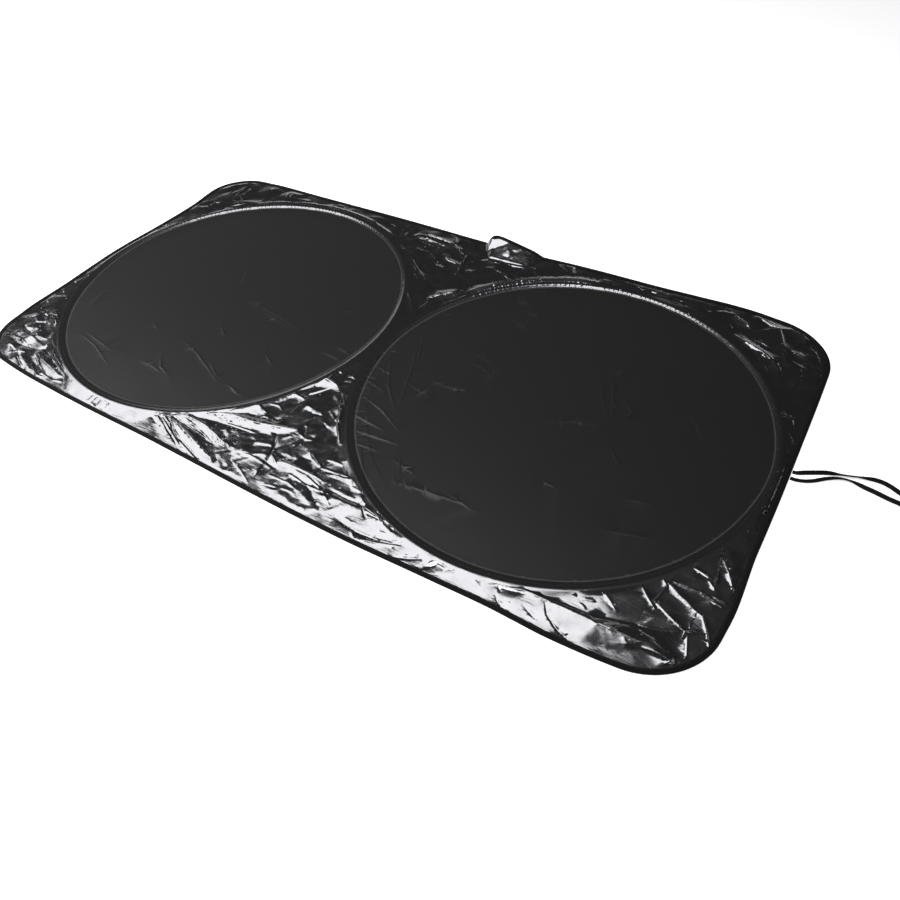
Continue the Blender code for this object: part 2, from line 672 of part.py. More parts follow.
def main():
    clear_scene()
    film_material = make_material("film", (0.012, 0.012, 0.013), 0.28)
    tape_material = make_material("binding_tape", (0.006, 0.006, 0.006), 0.75)
    casing_material = make_material("casing_tape", (0.02, 0.02, 0.02), 0.8)
    steel_material = make_material("spring_steel", (0.35, 0.35, 0.36), 0.35, 1.0)
    elastic_material = make_material("elastic", (0.008, 0.008, 0.008), 0.7)

    stations = edge_stations()
    normals = inward_normals(stations)
    film = FilmPoints(stations, normals)
    for side, centre_x in (("left", -HOOP_OFFSET), ("right", HOOP_OFFSET)):
        make_hoop("hoop_" + side, centre_x, steel_material)
        make_casing("hoop_casing_" + side, centre_x, casing_material)
        add_hoop_points(film, centre_x)
    add_folds(film)
    add_crumples(film)
    make_panel(film, film_material)
    make_binding(stations, normals, tape_material)
    make_strap(elastic_material)


main()
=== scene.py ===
"""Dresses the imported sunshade: creased film, woven tapes, stitching, strap and stage.

Each operator makes one piece of the sunshade or the stage that it lies on.
Metres, +Z up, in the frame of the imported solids.
"""

import math
import random

import bpy
import bmesh
import numpy as np
from mathutils import Matrix, Vector


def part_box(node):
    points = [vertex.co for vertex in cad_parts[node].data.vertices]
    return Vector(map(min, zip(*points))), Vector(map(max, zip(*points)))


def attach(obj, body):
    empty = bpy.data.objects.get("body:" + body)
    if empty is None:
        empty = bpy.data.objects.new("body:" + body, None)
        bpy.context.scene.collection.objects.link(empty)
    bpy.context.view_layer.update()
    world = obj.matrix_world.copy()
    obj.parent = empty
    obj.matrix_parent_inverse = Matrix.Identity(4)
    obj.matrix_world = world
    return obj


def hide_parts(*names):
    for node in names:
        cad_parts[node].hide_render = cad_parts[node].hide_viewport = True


bl_info = {
    "name": "Folding car sunshade",
    "version": (1, 0, 0),
    "blender": (4, 5, 0),
    "location": "3D View > Sidebar > Sunshade",
    "description": "Makes the cloth, tapes, stitches and strap of a twin-hoop car sunshade",
    "category": "Object",
}

MM = 0.001
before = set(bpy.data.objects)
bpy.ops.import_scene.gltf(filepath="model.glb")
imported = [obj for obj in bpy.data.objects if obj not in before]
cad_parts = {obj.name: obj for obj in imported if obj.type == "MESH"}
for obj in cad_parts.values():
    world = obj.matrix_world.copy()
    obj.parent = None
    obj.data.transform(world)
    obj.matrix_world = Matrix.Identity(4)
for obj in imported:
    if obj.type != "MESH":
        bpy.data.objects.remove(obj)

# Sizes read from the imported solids.
BINDING_LOW, BINDING_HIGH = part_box("edge_binding")
LEFT_LOW, LEFT_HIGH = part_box("hoop_left")
RIGHT_LOW, RIGHT_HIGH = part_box("hoop_right")
WIRE_HEIGHT = LEFT_HIGH[2] - LEFT_LOW[2]
HOOP_RADIUS = (LEFT_HIGH[0] - LEFT_LOW[0] - WIRE_HEIGHT) / 2
HOOP_CENTRES = ((LEFT_LOW[0] + LEFT_HIGH[0]) / 2, (RIGHT_LOW[0] + RIGHT_HIGH[0]) / 2)
HOOP_MIDDLE = (LEFT_LOW[1] + LEFT_HIGH[1]) / 2
HALF_LENGTH = (BINDING_HIGH[0] - BINDING_LOW[0]) / 2
HALF_WIDTH = (BINDING_HIGH[1] - BINDING_LOW[1]) / 2

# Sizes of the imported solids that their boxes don't give.
HOOP_STATIONS = 60
BINDING_HEIGHT = 2.1 * MM
# The most rounds in which the sheet's edges are halved.
MOST_SPLITS = 9

# The film inside a hoop: distance inwards from the wire and height of its top, in
# millimetres. On the far side it falls steeply from the wire, on the near side gently.
FAR_RIM = ((3.2, 4.5), (4.0, 4.22), (9.4, 1.25), (11.2, 1.02), (14, 0.97), (21, 0.96), (400, 0.96))
NEAR_RIM = ((3.2, 4.5), (5.0, 4.0), (9.0, 2.7), (13, 1.72), (16.5, 1.16), (20, 0.98), (400, 0.96))
# Size of the wrinkles inside the hoops, and the step that their slope is read over.
WRINKLE_SCALE = 2.8
SLOPE_STEP = 0.6 * MM
# Heights that the film is kept above: the sheet as a whole, its creased top, and its
# underside inside the hoops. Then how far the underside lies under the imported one.
LOWEST_SHEET = 0.05 * MM
LOWEST_TOP = 0.45 * MM
LOWEST_DISC = 0.1 * MM
UNDERSIDE_DROP = 1.4 * MM
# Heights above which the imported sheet's folds are calmed, on its top and its underside.
CALM_TOP = 2.0 * MM
CALM_UNDERSIDE = 1.5 * MM
# Where a change starts and the distance over which it grows, in metres: the creases from
# the hoops, all detail from the sheet's edge, the calmer folds from the hoops, the lowered
# underside from the edge, the wrinkles inwards from the hoops, and the slack film's streaks.
CREASE_START = (0.003, 0.006)
EDGE_START = (0.009, 0.006)
CALM_START = (0.004, 0.012)
UNDERSIDE_START = (0.012, 0.01)
WRINKLE_START = (0.008, 0.012)
SLACK_START = (0.006, 0.01)
# The glossy film starts this far inside a hoop, less by the shift on the far side, and its
# gloss grows over the fade.
GLOSS_INSIDE = 0.017
GLOSS_SHIFT = 0.005
GLOSS_FADE = 0.003

# Side of a cell of the plan grid that tells where the film's mesh is fine, and the
# shortest edge that is ever wanted.
CELL = 2 * MM
SHORTEST_EDGE = 0.0019
# Edges on a wrinkle are this much longer than on a crease, a rib has this many edges, and
# this is the edge on film that stands up beside a hoop.
WRINKLE_STEPS = 1.6
RIB_EDGES = 2.8
ROLL_EDGE = 0.0042
# Degrees and millimetres between the places that are marked in a band beside a hoop.
BAND_TURN = 0.3
BAND_OUT = 1.5
# Bands beside the hoops in which the film's edges are set by themselves, in metres: half
# the width of the slope inside, the hidden band's middle and half width, the taut disc.
RIM_HALF = 0.009
HIDDEN_MIDDLE = 0.012
HIDDEN_HALF = 0.015
HIDDEN_SHARE = 0.4
TAUT_INSIDE = 0.022
# A face whose normal rises or falls by more than this belongs to the top or the underside.
LEVEL = 0.05

# Chance creases: how many in all, and from which on they lie in the near middle and then
# on the flap. The two places are lowest and highest x, then y, in metres.
CHANCE_CREASES = 670
MIDDLE_FROM = 420
FLAP_FROM = 620
MIDDLE_PLACE = ((-0.12, 0.18), (-0.39, -0.12))
FLAP_PLACE = ((0.02, 0.135), (0.335, 0.392))
CHANCE_CLEAR = 0.012

# Sharp creases of the slack film in millimetres: half width, height, and points along.
NEAR_LEFT_CREASES = (
    (3.2, 1.3, (-690, -226), (-650, -244), (-620, -262)),
    (3.0, 1.2, (-680, -240), (-652, -252), (-630, -262)),
    (3.0, 1.0, (-704, -243), (-686, -246), (-664, -240)),
    (3.2, 1.2, (-697, -264), (-684, -272), (-668, -262), (-656, -266)),
    (3.0, 0.9, (-732, -276), (-712, -268), (-700, -256)),
    (3.0, 0.9, (-722, -312), (-700, -314), (-680, -318)),
    (3.0, 1.0, (-704, -328), (-668, -326), (-640, -332)),
    (3.0, 1.2, (-672, -346), (-650, -352), (-640, -346)),
    (3.2, 1.3, (-652, -364), (-636, -356), (-622, -350)),
    (3.0, 1.2, (-632, -362), (-608, -374), (-585, -383)),
    (2.8, 0.9, (-622, -268), (-606, -274), (-600, -290)),
    (2.8, 1.0, (-602, -296), (-584, -307), (-545, -320), (-500, -341), (-466, -351)),
    (2.8, 0.9, (-590, -312), (-560, -326), (-520, -343), (-490, -350)),
    (2.5, 0.7, (-600, -334), (-560, -337), (-530, -342)),
    (2.8, 1.0, (-594, -346), (-545, -354), (-500, -363)),
    (3.0, -1.2, (-606, -338), (-562, -362), (-530, -373), (-495, -374)),
    (2.8, 0.9, (-580, -364), (-558, -377), (-540, -384), (-518, -380)),
    (2.5, 0.7, (-500, -378), (-480, -373)),
    (2.5, 0.6, (-630, -276), (-616, -284), (-612, -300)),
)
NEAR_MIDDLE_CREASES = (
    (2.6, 1.0, (-388, -366), (-387, -384)),
    (2.6, 1.0, (-377, -364), (-375, -385)),
    (2.6, 1.0, (-370, -366), (-360, -384)),
    (2.9, 0.8, (-350, -368), (-340, -380)),
    (2.9, 1.4, (-246, -331), (-190, -327), (-140, -329)),
    (2.9, -1.4, (-238, -333), (-190, -342), (-120, -350)),
    (2.9, 1.2, (-235, -338), (-190, -349), (-120, -371)),
    (2.9, 1.4, (-250, -338), (-215, -351), (-150, -379), (-104, -394)),
    (2.9, -1.4, (-255, -342), (-190, -371), (-150, -389)),
    (2.9, -1.2, (-215, -346), (-180, -369), (-100, -392)),
    (2.9, 0.8, (-200, -330), (-150, -341), (-96, -356)),
    (3.2, 0.8, (-192, -304), (-150, -300), (-120, -303)),
    (3.2, 1.5, (-58, -134), (-30, -136), (0, -139)),
    (3.2, 1.4, (-80, -190), (-56, -194), (-32, -193)),
    (3.2, -1.5, (-5, -149), (-30, -181), (-35, -240)),
    (2.9, 1.4, (10, -157), (50, -187), (62, -217), (94, -253)),
    (2.9, 1.0, (22, -150), (56, -184), (80, -226), (98, -252)),
    (3.2, 1.5, (-18, -207), (4, -211), (26, -210)),
    (3.2, 1.2, (30, -196), (48, -208), (70, -212)),
    (3.2, 1.0, (38, -222), (52, -230)),
    (2.9, 1.0, (-76, -232), (-60, -229), (-46, -236)),
    (2.9, 1.0, (-96, -245), (-66, -254)),
    (2.9, 1.0, (-90, -270), (-60, -262), (-40, -266)),
    (3.5, 1.4, (-140, -292), (-60, -282), (-20, -271), (10, -260)),
    (2.9, 1.0, (-122, -308), (-84, -303), (-50, -300)),
    (2.9, 1.4, (-38, -318), (-5, -309)),
    (2.9, 1.4, (62, -292), (98, -309)),
    (2.9, 1.4, (100, -310), (150, -304)),
    (2.9, 1.2, (98, -290), (126, -288)),
    (2.9, 1.0, (20, -266), (36, -271), (48, -266)),
    (2.9, 1.0, (12, -238), (30, -262), (36, -272)),
    (2.9, -1.4, (-20, -282), (0, -314), (12, -372)),
    (2.6, 0.6, (-50, -347), (-10, -345), (30, -350)),
    (2.6, 0.6, (24, -362), (70, -360), (100, -366)),
    (2.6, 0.6, (36, -380), (80, -372), (96, -374)),
    (2.6, 0.6, (-46, -366), (-10, -380), (14, -392)),
    (2.6, 0.7, (60, -345), (110, -350), (150, -346)),
    (2.6, 0.7, (84, -334), (130, -346), (160, -366)),
    (2.9, 1.4, (2, -325), (20, -333), (28, -340)),
    (2.9, 1.2, (34, -330), (96, -328), (120, -331)),
    (3.2, 1.4, (-118, -256), (-104, -244), (-96, -240)),
    (2.9, 1.0, (-150, -268), (-110, -262)),
    (3.2, 1.4, (0, -112), (12, -106), (22, -110)),
    (2.9, 1.2, (4, -124), (22, -118)),
    (2.9, 1.2, (-28, -104), (-8, -108)),
    (3.2, 1.2, (-44, -118), (-14, -114)),
)
# Wide folds and dents of the slack film, in the same form.
FAR_FOLDS = (
    (26, 1.8, (34, 354), (56, 350), (84, 348)),
    (20, -0.8, (104, 352), (136, 352)),
    (9, 4.0, (-142, 350), (-100, 348), (-58, 342)),
)
NEAR_FOLDS = (
    (5, -1.6, (-700, -296), (-650, -306), (-612, -312), (-590, -318)),
    (5, -1.2, (-690, -338), (-650, -338), (-616, -336)),
    (5, -1.4, (136, -339), (170, -342), (206, -340)),
    (4.5, -1.3, (180, -380), (222, -385), (262, -383), (300, -373)),
    (6, -1.3, (440, -366), (470, -362), (500, -356)),
    (6, -1.2, (342, -392), (352, -382), (366, -366)),
    (13, 2.4, (-170, -300), (-110, -292), (-50, -278), (10, -262)),
    (9, 1.3, (-60, -138), (-30, -136), (4, -141)),
    (7, 1.1, (10, -157), (48, -190), (64, -220), (92, -252)),
    (8, 0.8, (-100, -246), (-60, -262), (-30, -270)),
    (9, 0.9, (-60, -330), (-40, -342), (0, -346)),
    (8, -1.0, (-24, -282), (-4, -312), (20, -320), (60, -318)),
    (10, 0.9, (60, -384), (84, -386), (112, -392)),
    (8, 0.8, (108, -396), (130, -388), (158, -374)),
    (10, 0.7, (22, -232), (40, -252), (30, -272)),
    (10, -0.8, (-36, -190), (-34, -230), (-30, -258)),
    (12, 0.8, (-80, -214), (-50, -224), (-36, -232)),
    (9, -0.8, (70, -352), (110, -344), (150, -352)),
    (9, 0.8, (100, -366), (130, -372), (150, -370)),
    (7, 0.9, (36, -330), (80, -336), (130, -352), (150, -362)),
    (8, -0.8, (-60, -352), (-44, -372), (-50, -396)),
)
WIDE_FOLDS = FAR_FOLDS + NEAR_FOLDS
NEAR_RIGHT_CREASES = (
    (2.4, -1.2, (206, -338), (212, -348), (224, -359)),
    (2.4, -0.9, (218, -350), (262, -351), (300, -357)),
    (2.4, -0.8, (262, -346), (300, -352)),
    (3.0, -1.2, (180, -377), (214, -383), (262, -382), (300, -372)),
    (2.7, 1.2, (214, -383), (228, -397)),
    (2.7, 1.2, (228, -397), (262, -388), (300, -373)),
    (3.0, -1.2, (300, -395), (322, -386), (340, -376)),
    (3.8, -1.8, (342, -394), (352, -384), (364, -368)),
    (2.7, 0.9, (346, -358), (360, -364), (388, -368)),
    (2.4, -0.8, (372, -371), (390, -374)),
    (2.4, 0.6, (424, -372), (436, -378)),
    (2.4, -1.0, (458, -358), (462, -372)),
    (2.4, -1.0, (460, -377), (468, -386), (482, -392)),
    (2.4, -0.8, (500, -374), (524, -384)),
    (2.7, -1.4, (525, -356), (536, -372), (552, -382), (575, -391)),
    (2.7, 1.0, (442, -357), (500, -354), (560, -353), (660, -352)),
    (2.4, 0.8, (636, -356), (646, -362)),
    (2.7, 0.9, (588, -305), (602, -314), (614, -322)),
    (2.4, 0.8, (566, -334), (576, -338)),
    (2.4, 0.8, (566, -326), (584, -322)),
    (2.2, 0.5, (194, -372), (208, -374), (216, -371)),
    (2.2, 0.5, (258, -368), (268, -367)),
    (2.7, 1.0, (186, -312), (196, -330), (206, -338)),
    (2.7, 0.9, (160, -308), (168, -318), (190, -320)),
)
RIGHT_END_CREASES = (
    (2.0, 1.1, (642, -239), (650, -245), (658, -254)),
    (2.0, 1.3, (656, -246), (676, -259), (697, -267)),
    (2.0, 1.3, (700, -270), (714, -275), (728, -298), (735, -312), (730, -322)),
    (2.0, 1.2, (625, -266), (640, -281), (656, -294)),
    (2.0, 1.2, (648, -281), (676, -295), (703, -306)),
    (2.0, 0.8, (646, -326), (672, -318), (704, -304)),
    (1.8, 0.9, (664, -220), (658, -248), (652, -284), (646, -324)),
    (2.0, 1.3, (657, -242), (700, -241), (716, -244), (734, -249)),
    (2.0, 1.0, (716, -238), (736, -242)),
    (2.0, 1.3, (676, -206), (692, -210), (707, -214)),
    (2.0, 1.4, (704, -168), (709, -196), (713, -219)),
    (1.8, 1.0, (707, -170), (722, -192), (735, -213)),
    (2.4, 1.3, (692, -165), (708, -162)),
    (2.0, 1.3, (702, -217), (710, -223), (716, -229)),
    (2.0, 0.8, (704, -270), (703, -290), (706, -302)),
    (2.0, 1.0, (706, -301), (728, -298)),
    (2.0, 0.9, (704, -306), (710, -324), (716, -342), (706, -357)),
    (2.0, 1.0, (660, -356), (684, -354), (706, -358)),
    (2.0, 0.8, (646, -334), (672, -340), (694, -347)),
    (2.0, 1.0, (726, -195), (738, -190)),
    (2.0, 1.0, (732, -212), (738, -216)),
    (2.0, 1.1, (724, -58), (734, -52), (739, -50)),
    (2.0, 1.0, (722, 62), (736, 50)),
)
FAR_RIGHT_CREASES = (
    (3.0, 1.5, (572, 316), (600, 303), (632, 291), (654, 276), (670, 256)),
    (2.4, 1.2, (602, 392), (643, 369), (655, 340), (660, 326), (670, 296), (677, 276)),
    (2.4, 1.2, (662, 378), (686, 369), (694, 349)),
    (2.6, 1.4, (680, 313), (700, 310)),
    (2.4, -1.2, (705, 292), (709, 250), (710, 218)),
    (2.4, 1.2, (628, 286), (640, 262), (662, 236)),
    (2.4, 1.0, (560, 372), (580, 362), (596, 350)),
    (2.4, 1.0, (534, 374), (556, 376)),
    (3.0, 1.2, (704, 154), (712, 147), (722, 150)),
    (2.4, 1.0, (612, 322), (640, 312)),
    (2.4, 0.9, (700, 345), (716, 330), (730, 300)),
    (2.2, 0.9, (728, 108), (738, 88)),
    (2.2, 0.9, (726, 92), (736, 66)),
)
FAR_MIDDLE_CREASES = (
    (2.6, 1.6, (-145, 353), (-112, 361), (-80, 358), (-50, 353)),
    (2.6, 1.4, (-140, 340), (-90, 331), (-62, 334)),
    (2.4, 1.4, (-50, 351), (-28, 338), (-8, 324)),
    (2.4, 1.2, (-64, 386), (-50, 360)),
    (2.8, 1.8, (-40, 301), (-20, 292), (0, 290)),
    (2.6, 1.5, (-2, 324), (2, 310), (6, 296)),
    (2.2, 1.2, (-50, 268), (-36, 270), (-20, 266)),
    (2.4, 1.4, (-52, 168), (-30, 142), (-5, 116)),
    (2.4, 1.4, (-108, 268), (-84, 247), (-60, 230), (-34, 208)),
    (2.2, 1.2, (-96, 254), (-72, 228), (-56, 210)),
    (2.4, 1.3, (70, 309), (96, 303), (128, 285)),
    (2.4, -1.2, (48, 333), (90, 341), (136, 349)),
    (2.4, 1.2, (40, 344), (80, 346), (124, 352)),
    (2.2, -1.2, (122, 390), (136, 350)),
    (2.2, 1.2, (146, 350), (160, 334), (172, 322)),
    (2.2, 1.2, (86, 276), (98, 264), (108, 252)),
    (2.2, 1.2, (0, 300), (12, 268), (28, 252)),
    (2.2, 1.2, (22, 274), (36, 280), (40, 286)),
    (2.2, 1.2, (-18, 322), (-4, 312)),
    (2.2, 1.2, (2, 157), (24, 182), (44, 202)),
    (2.4, 1.4, (36, 162), (56, 190)),
    (2.2, 1.0, (214, 392), (222, 376), (236, 362)),
    (2.2, 1.0, (188, 384), (214, 368)),
    (2.2, 1.0, (200, 388), (210, 384)),
    (2.2, 1.0, (-78, 300), (-62, 286), (-50, 276)),
    (2.2, 0.9, (-120, 306), (-84, 304)),
    (2.4, -1.2, (-62, 388), (-44, 356), (-10, 326)),
    (2.2, 1.0, (10, 258), (16, 252)),
    (2.2, 1.1, (6, 120), (12, 150)),
)
FAR_LEFT_CREASES = (
    (2.6, 1.4, (-736, 122), (-716, 132), (-704, 140)),
    (2.6, 1.2, (-682, 368), (-672, 352), (-664, 300)),
    (2.6, 1.3, (-654, 286), (-620, 296), (-598, 304)),
    (2.4, 1.2, (-640, 268), (-612, 286)),
    (2.4, 1.2, (-604, 378), (-592, 364)),
    (2.4, 1.3, (-548, 372), (-540, 356)),
    (2.4, 1.3, (-536, 374), (-528, 358)),
    (2.4, 1.1, (-690, 372), (-660, 378)),
    (2.4, 1.2, (-694, 258), (-676, 268)),
    (2.4, 1.2, (-190, 358), (-180, 340)),
    (2.2, 1.2, (-176, 352), (-166, 334)),
    (2.4, 1.2, (-230, 366), (-212, 360)),
    (2.6, 1.2, (-728, 76), (-714, 86)),
    (2.6, 1.2, (-724, 60), (-712, 66)),
    (2.6, 1.1, (-746, -40), (-728, -46)),
    (2.8, 1.1, (-740, -134), (-728, -138)),
    (2.8, 1.1, (-736, -168), (-724, -174)),
    (2.8, 1.1, (-736, -190), (-726, -194)),
    (2.8, 1.2, (-736, -212), (-724, -216)),
    (2.8, 1.0, (-704, -184), (-694, -190)),
)
SHARP_CREASES = (NEAR_LEFT_CREASES + NEAR_MIDDLE_CREASES + NEAR_RIGHT_CREASES
                 + RIGHT_END_CREASES + FAR_RIGHT_CREASES + FAR_MIDDLE_CREASES + FAR_LEFT_CREASES)
# Soft wrinkles of the stretched film inside the hoops, in the same form.
DISC_WRINKLES = (
    (5.5, 0.7, (161, 254), (181, 235), (209, 224)), (5, 0.45, (173, 290), (217, 282)),
    (5, 0.4, (193, 210), (244, 203)), (3, 0.3, (189, 183), (220, 168), (244, 151)),
    (3, 0.3, (153, 183), (169, 169)), (3, 0.22, (395, 230), (422, 191)),
    (3, 0.22, (474, 191), (505, 143)), (3, 0.25, (414, 147), (454, 104)),
    (3, 0.34, (426, 111), (446, 64), (466, 9)), (3, 0.3, (407, 96), (434, 48), (454, 17)),
    (3, 0.3, (466, 66), (482, 50), (503, 22)), (3, 0.28, (573, 88), (600, 52), (620, 28)),
    (3, 0.28, (169, 56), (225, 44)), (3, 0.26, (173, 36), (248, 13)),
    (3, 0.3, (130, -39), (177, -47), (248, -32)), (3, 0.28, (367, -43), (422, -19), (470, -7)),
    (3, 0.24, (486, -47), (517, -78)), (3, 0.22, (549, -134), (596, -126)),
    (3, 0.24, (545, -205), (612, -185)), (3, 0.26, (414, -161), (454, -167)),
    (3.4, 0.36, (213, -276), (272, -268), (351, -260)), (3, 0.28, (312, -256), (359, -266)),
    (3, 0.28, (19, -11), (51, -7)), (3, 0.34, (39, -23), (82, -94), (130, -142)),
    (3, 0.3, (59, 40), (90, -23), (130, -134)), (3, 0.26, (51, 72), (82, 9), (106, -47)),
    (3, 0.28, (106, -70), (169, -86)), (3.2, 0.38, (51, -134), (106, -150), (161, -177)),
    (4, 0.5, (55, -181), (138, -189)), (4, 0.5, (90, -213), (177, -205)),
    (3.4, 0.36, (110, -237), (157, -233)), (4, 0.4, (130, -244), (169, -292), (193, -316)),
    (3, 0.26, (193, -237), (244, -248)), (4, 0.34, (36, -60), (76, -66)),
    (4, 0.34, (40, -100), (84, -108)), (3, 0.24, (60, 131), (78, 129)),
    (3, 0.28, (-565, -256), (-509, -268), (-438, -296)), (3, 0.24, (-560, -246), (-470, -262)),
    (3, 0.34, (-363, -229), (-339, -252), (-312, -262)), (3, 0.26, (-379, -256), (-327, -262)),
    (3, 0.24, (-462, -157), (-430, -173)), (3, 0.3, (-359, -173), (-303, -190), (-209, -232)),
    (3, 0.24, (-327, -102), (-288, -126)), (3, 0.28, (-264, -196), (-217, -224)),
    (3.4, 0.42, (-181, -229), (-149, -240)), (3, 0.26, (-185, -126), (-145, -150)),
    (3, 0.26, (-343, -11), (-296, -15), (-217, -31), (-161, -39)),
    (3, 0.24, (-300, -22), (-190, -44)), (3, 0.22, (-137, 40), (-106, 56)),
    (3.4, 0.3, (-74, -47), (-30, -55)), (3.4, 0.32, (-90, -70), (-30, -80)),
    (6, 0.3, (-644, -126), (-628, -189)), (3, 0.2, (-420, 90), (-380, 20)),
)
# Ribs where the film is gathered along a hoop: hoop, first and last angle, nearest and
# farthest distance outwards, spacing and height, in degrees and millimetres.
GATHERS = (
    (1, 98, 152, 0, 27, 7.6, 1.5),
    (1, 102, 148, -9, 8, 10.3, 0.8),
    (1, -32, 34, -14, -3, 5.5, 0.45),
    (1, 34, 60, -12, -3, 6.0, 0.25),
    (1, 160, 215, -34, -4, 9.0, 0.6),
    (1, 205, 240, -40, -6, 14.0, 0.7),
    (0, -22, 40, -24, -3, 8.0, 0.3),
    (0, -40, 10, 3, 14, 7.0, 0.5),
    (0, 20, 60, 3, 14, 8.0, 0.5),
)
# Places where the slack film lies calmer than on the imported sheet: lowest and highest
# x, lowest and highest y and fade in millimetres, and the share of the folds kept.
CALM_PLACES = (
    (-130, 190, -470, -120, 50, 0.42),
    (180, 560, -430, -300, 40, 0.75),
    (-75, 115, -440, -338, 22, 0.45),
    (105, 240, -440, -373, 13, 0.1),
    (112, 216, -351, -306, 12, 0.1),
    (-700, -590, -350, -280, 24, 0.7),
)
# Places with many small creases: lowest and highest x, lowest and highest y, and the
# longest edge wanted there, in millimetres.
FINE_PLACES = (
    (8, 140, 328, 398, 2.4),
    (-130, 190, -400, -120, 3.6),
    (-720, -480, -390, -220, 4),
)
# Film standing up beside a hoop: hoop, first and last angle, distance, half width, height.
ROLLS = (
    (0, 58, 128, 9.0, 7.5, 3.4),
    (1, 100, 148, 11.5, 10.0, 3.9),
)


class FilmSettings(bpy.types.PropertyGroup):
    taut_colour: bpy.props.FloatVectorProperty(
        name="Taut tint", description="Tint of the coating on the stretched discs",
        subtype="COLOR", size=3, min=0, max=1, default=(0.0155, 0.0155, 0.016))
    sheen_colour: bpy.props.FloatVectorProperty(
        name="Slack tint", description="Tint of the coating where it is slack and shines",
        subtype="COLOR", size=3, min=0, max=1, default=(0.175, 0.175, 0.182))
    back_colour: bpy.props.FloatVectorProperty(
        name="Back colour", description="Colour of the silver coating underneath",
        subtype="COLOR", size=3, min=0, max=1, default=(0.62, 0.63, 0.65))
    loose_roughness: bpy.props.FloatProperty(
        name="Loose roughness", description="Roughness of the film outside the hoops",
        min=0, max=1, default=0.17)
    taut_roughness: bpy.props.FloatProperty(
        name="Taut roughness", description="Roughness of the film stretched inside the hoops",
        min=0, max=1, default=0.36)
    crease_step: bpy.props.FloatProperty(
        name="Crease step",
        description="Longest edge of the mesh for each millimetre of a crease's half width",
        unit="LENGTH", min=0.0005, default=0.0008)
    rim_step: bpy.props.FloatProperty(
        name="Rim step", description="Longest edge of the mesh on the slopes inside the hoops",
        unit="LENGTH", min=0.001, default=0.0045)
    loose_step: bpy.props.FloatProperty(
        name="Loose step", description="Longest edge of the mesh on the loose film",
        unit="LENGTH", min=0.001, default=0.0075)
    taut_step: bpy.props.FloatProperty(
        name="Taut step", description="Longest edge of the mesh on the taut discs",
        unit="LENGTH", min=0.002, default=0.03)
    hidden_step: bpy.props.FloatProperty(
        name="Hidden step", description="Longest edge of the mesh on the underside",
        unit="LENGTH", min=0.002, default=0.02)
    most_triangles: bpy.props.IntProperty(
        name="Most triangles", description="Number of triangles that the film's mesh may have",
        min=1000, default=190000)
    seed: bpy.props.IntProperty(
        name="Seed", description="Seed of the small creases", min=0, default=11)


class TapeSettings(bpy.types.PropertyGroup):
    colour: bpy.props.FloatVectorProperty(
        name="Colour", description="Colour of the binding and casing tapes", subtype="COLOR",
        size=3, min=0, max=1, default=(0.0025, 0.0025, 0.0025))
    thread_colour: bpy.props.FloatVectorProperty(
        name="Thread colour", description="Colour of the sewing thread", subtype="COLOR",
        size=3, min=0, max=1, default=(0.012, 0.012, 0.012))
    weave: bpy.props.FloatProperty(
        name="Weave", description="Distance between the tape's ribs", unit="LENGTH",
        min=0.0002, default=0.0009)
    stitch_pitch: bpy.props.FloatProperty(
        name="Stitch pitch", description="Distance between stitches", unit="LENGTH",
        min=0.001, default=0.0040)
    stitch_length: bpy.props.FloatProperty(
        name="Stitch length", description="Length of one stitch", unit="LENGTH",
        min=0.0005, default=0.0028)
    thread_radius: bpy.props.FloatProperty(
        name="Thread radius", description="Half the thread's thickness", unit="LENGTH",
        min=0.0001, default=0.00032)
    station: bpy.props.FloatProperty(
        name="Tape station", description="Distance between the binding's sections",
        unit="LENGTH", min=0.002, default=0.008)
    casing_stations: bpy.props.IntProperty(
        name="Casing stations", description="Sections round a casing", min=24, default=240)


class StrapSettings(bpy.types.PropertyGroup):
    colour: bpy.props.FloatVectorProperty(
        name="Colour", description="Colour of the elastic", subtype="COLOR",
        size=3, min=0, max=1, default=(0.003, 0.003, 0.003))
    width: bpy.props.FloatProperty(
        name="Width", description="Width of the elastic", unit="LENGTH", min=0.001, default=0.007)
    thickness: bpy.props.FloatProperty(
        name="Thickness", description="Thickness of the elastic", unit="LENGTH",
        min=0.0002, default=0.0011)


class StageSettings(bpy.types.PropertyGroup):
    floor_colour: bpy.props.FloatVectorProperty(
        name="Floor colour", description="Colour of the pale floor", subtype="COLOR",
        size=3, min=0, max=1, default=(0.94, 0.94, 0.94))
    key_power: bpy.props.FloatProperty(
        name="Key power", description="Power of the large soft light", unit="POWER",
        min=0, default=114.0)
    camera_distance: bpy.props.FloatProperty(
        name="Camera distance", description="Camera to the point that it looks at",
        unit="LENGTH", min=0.1, default=1.1935)


def group(name):
    """The settings of one group of pieces."""
    return getattr(bpy.context.scene, name)


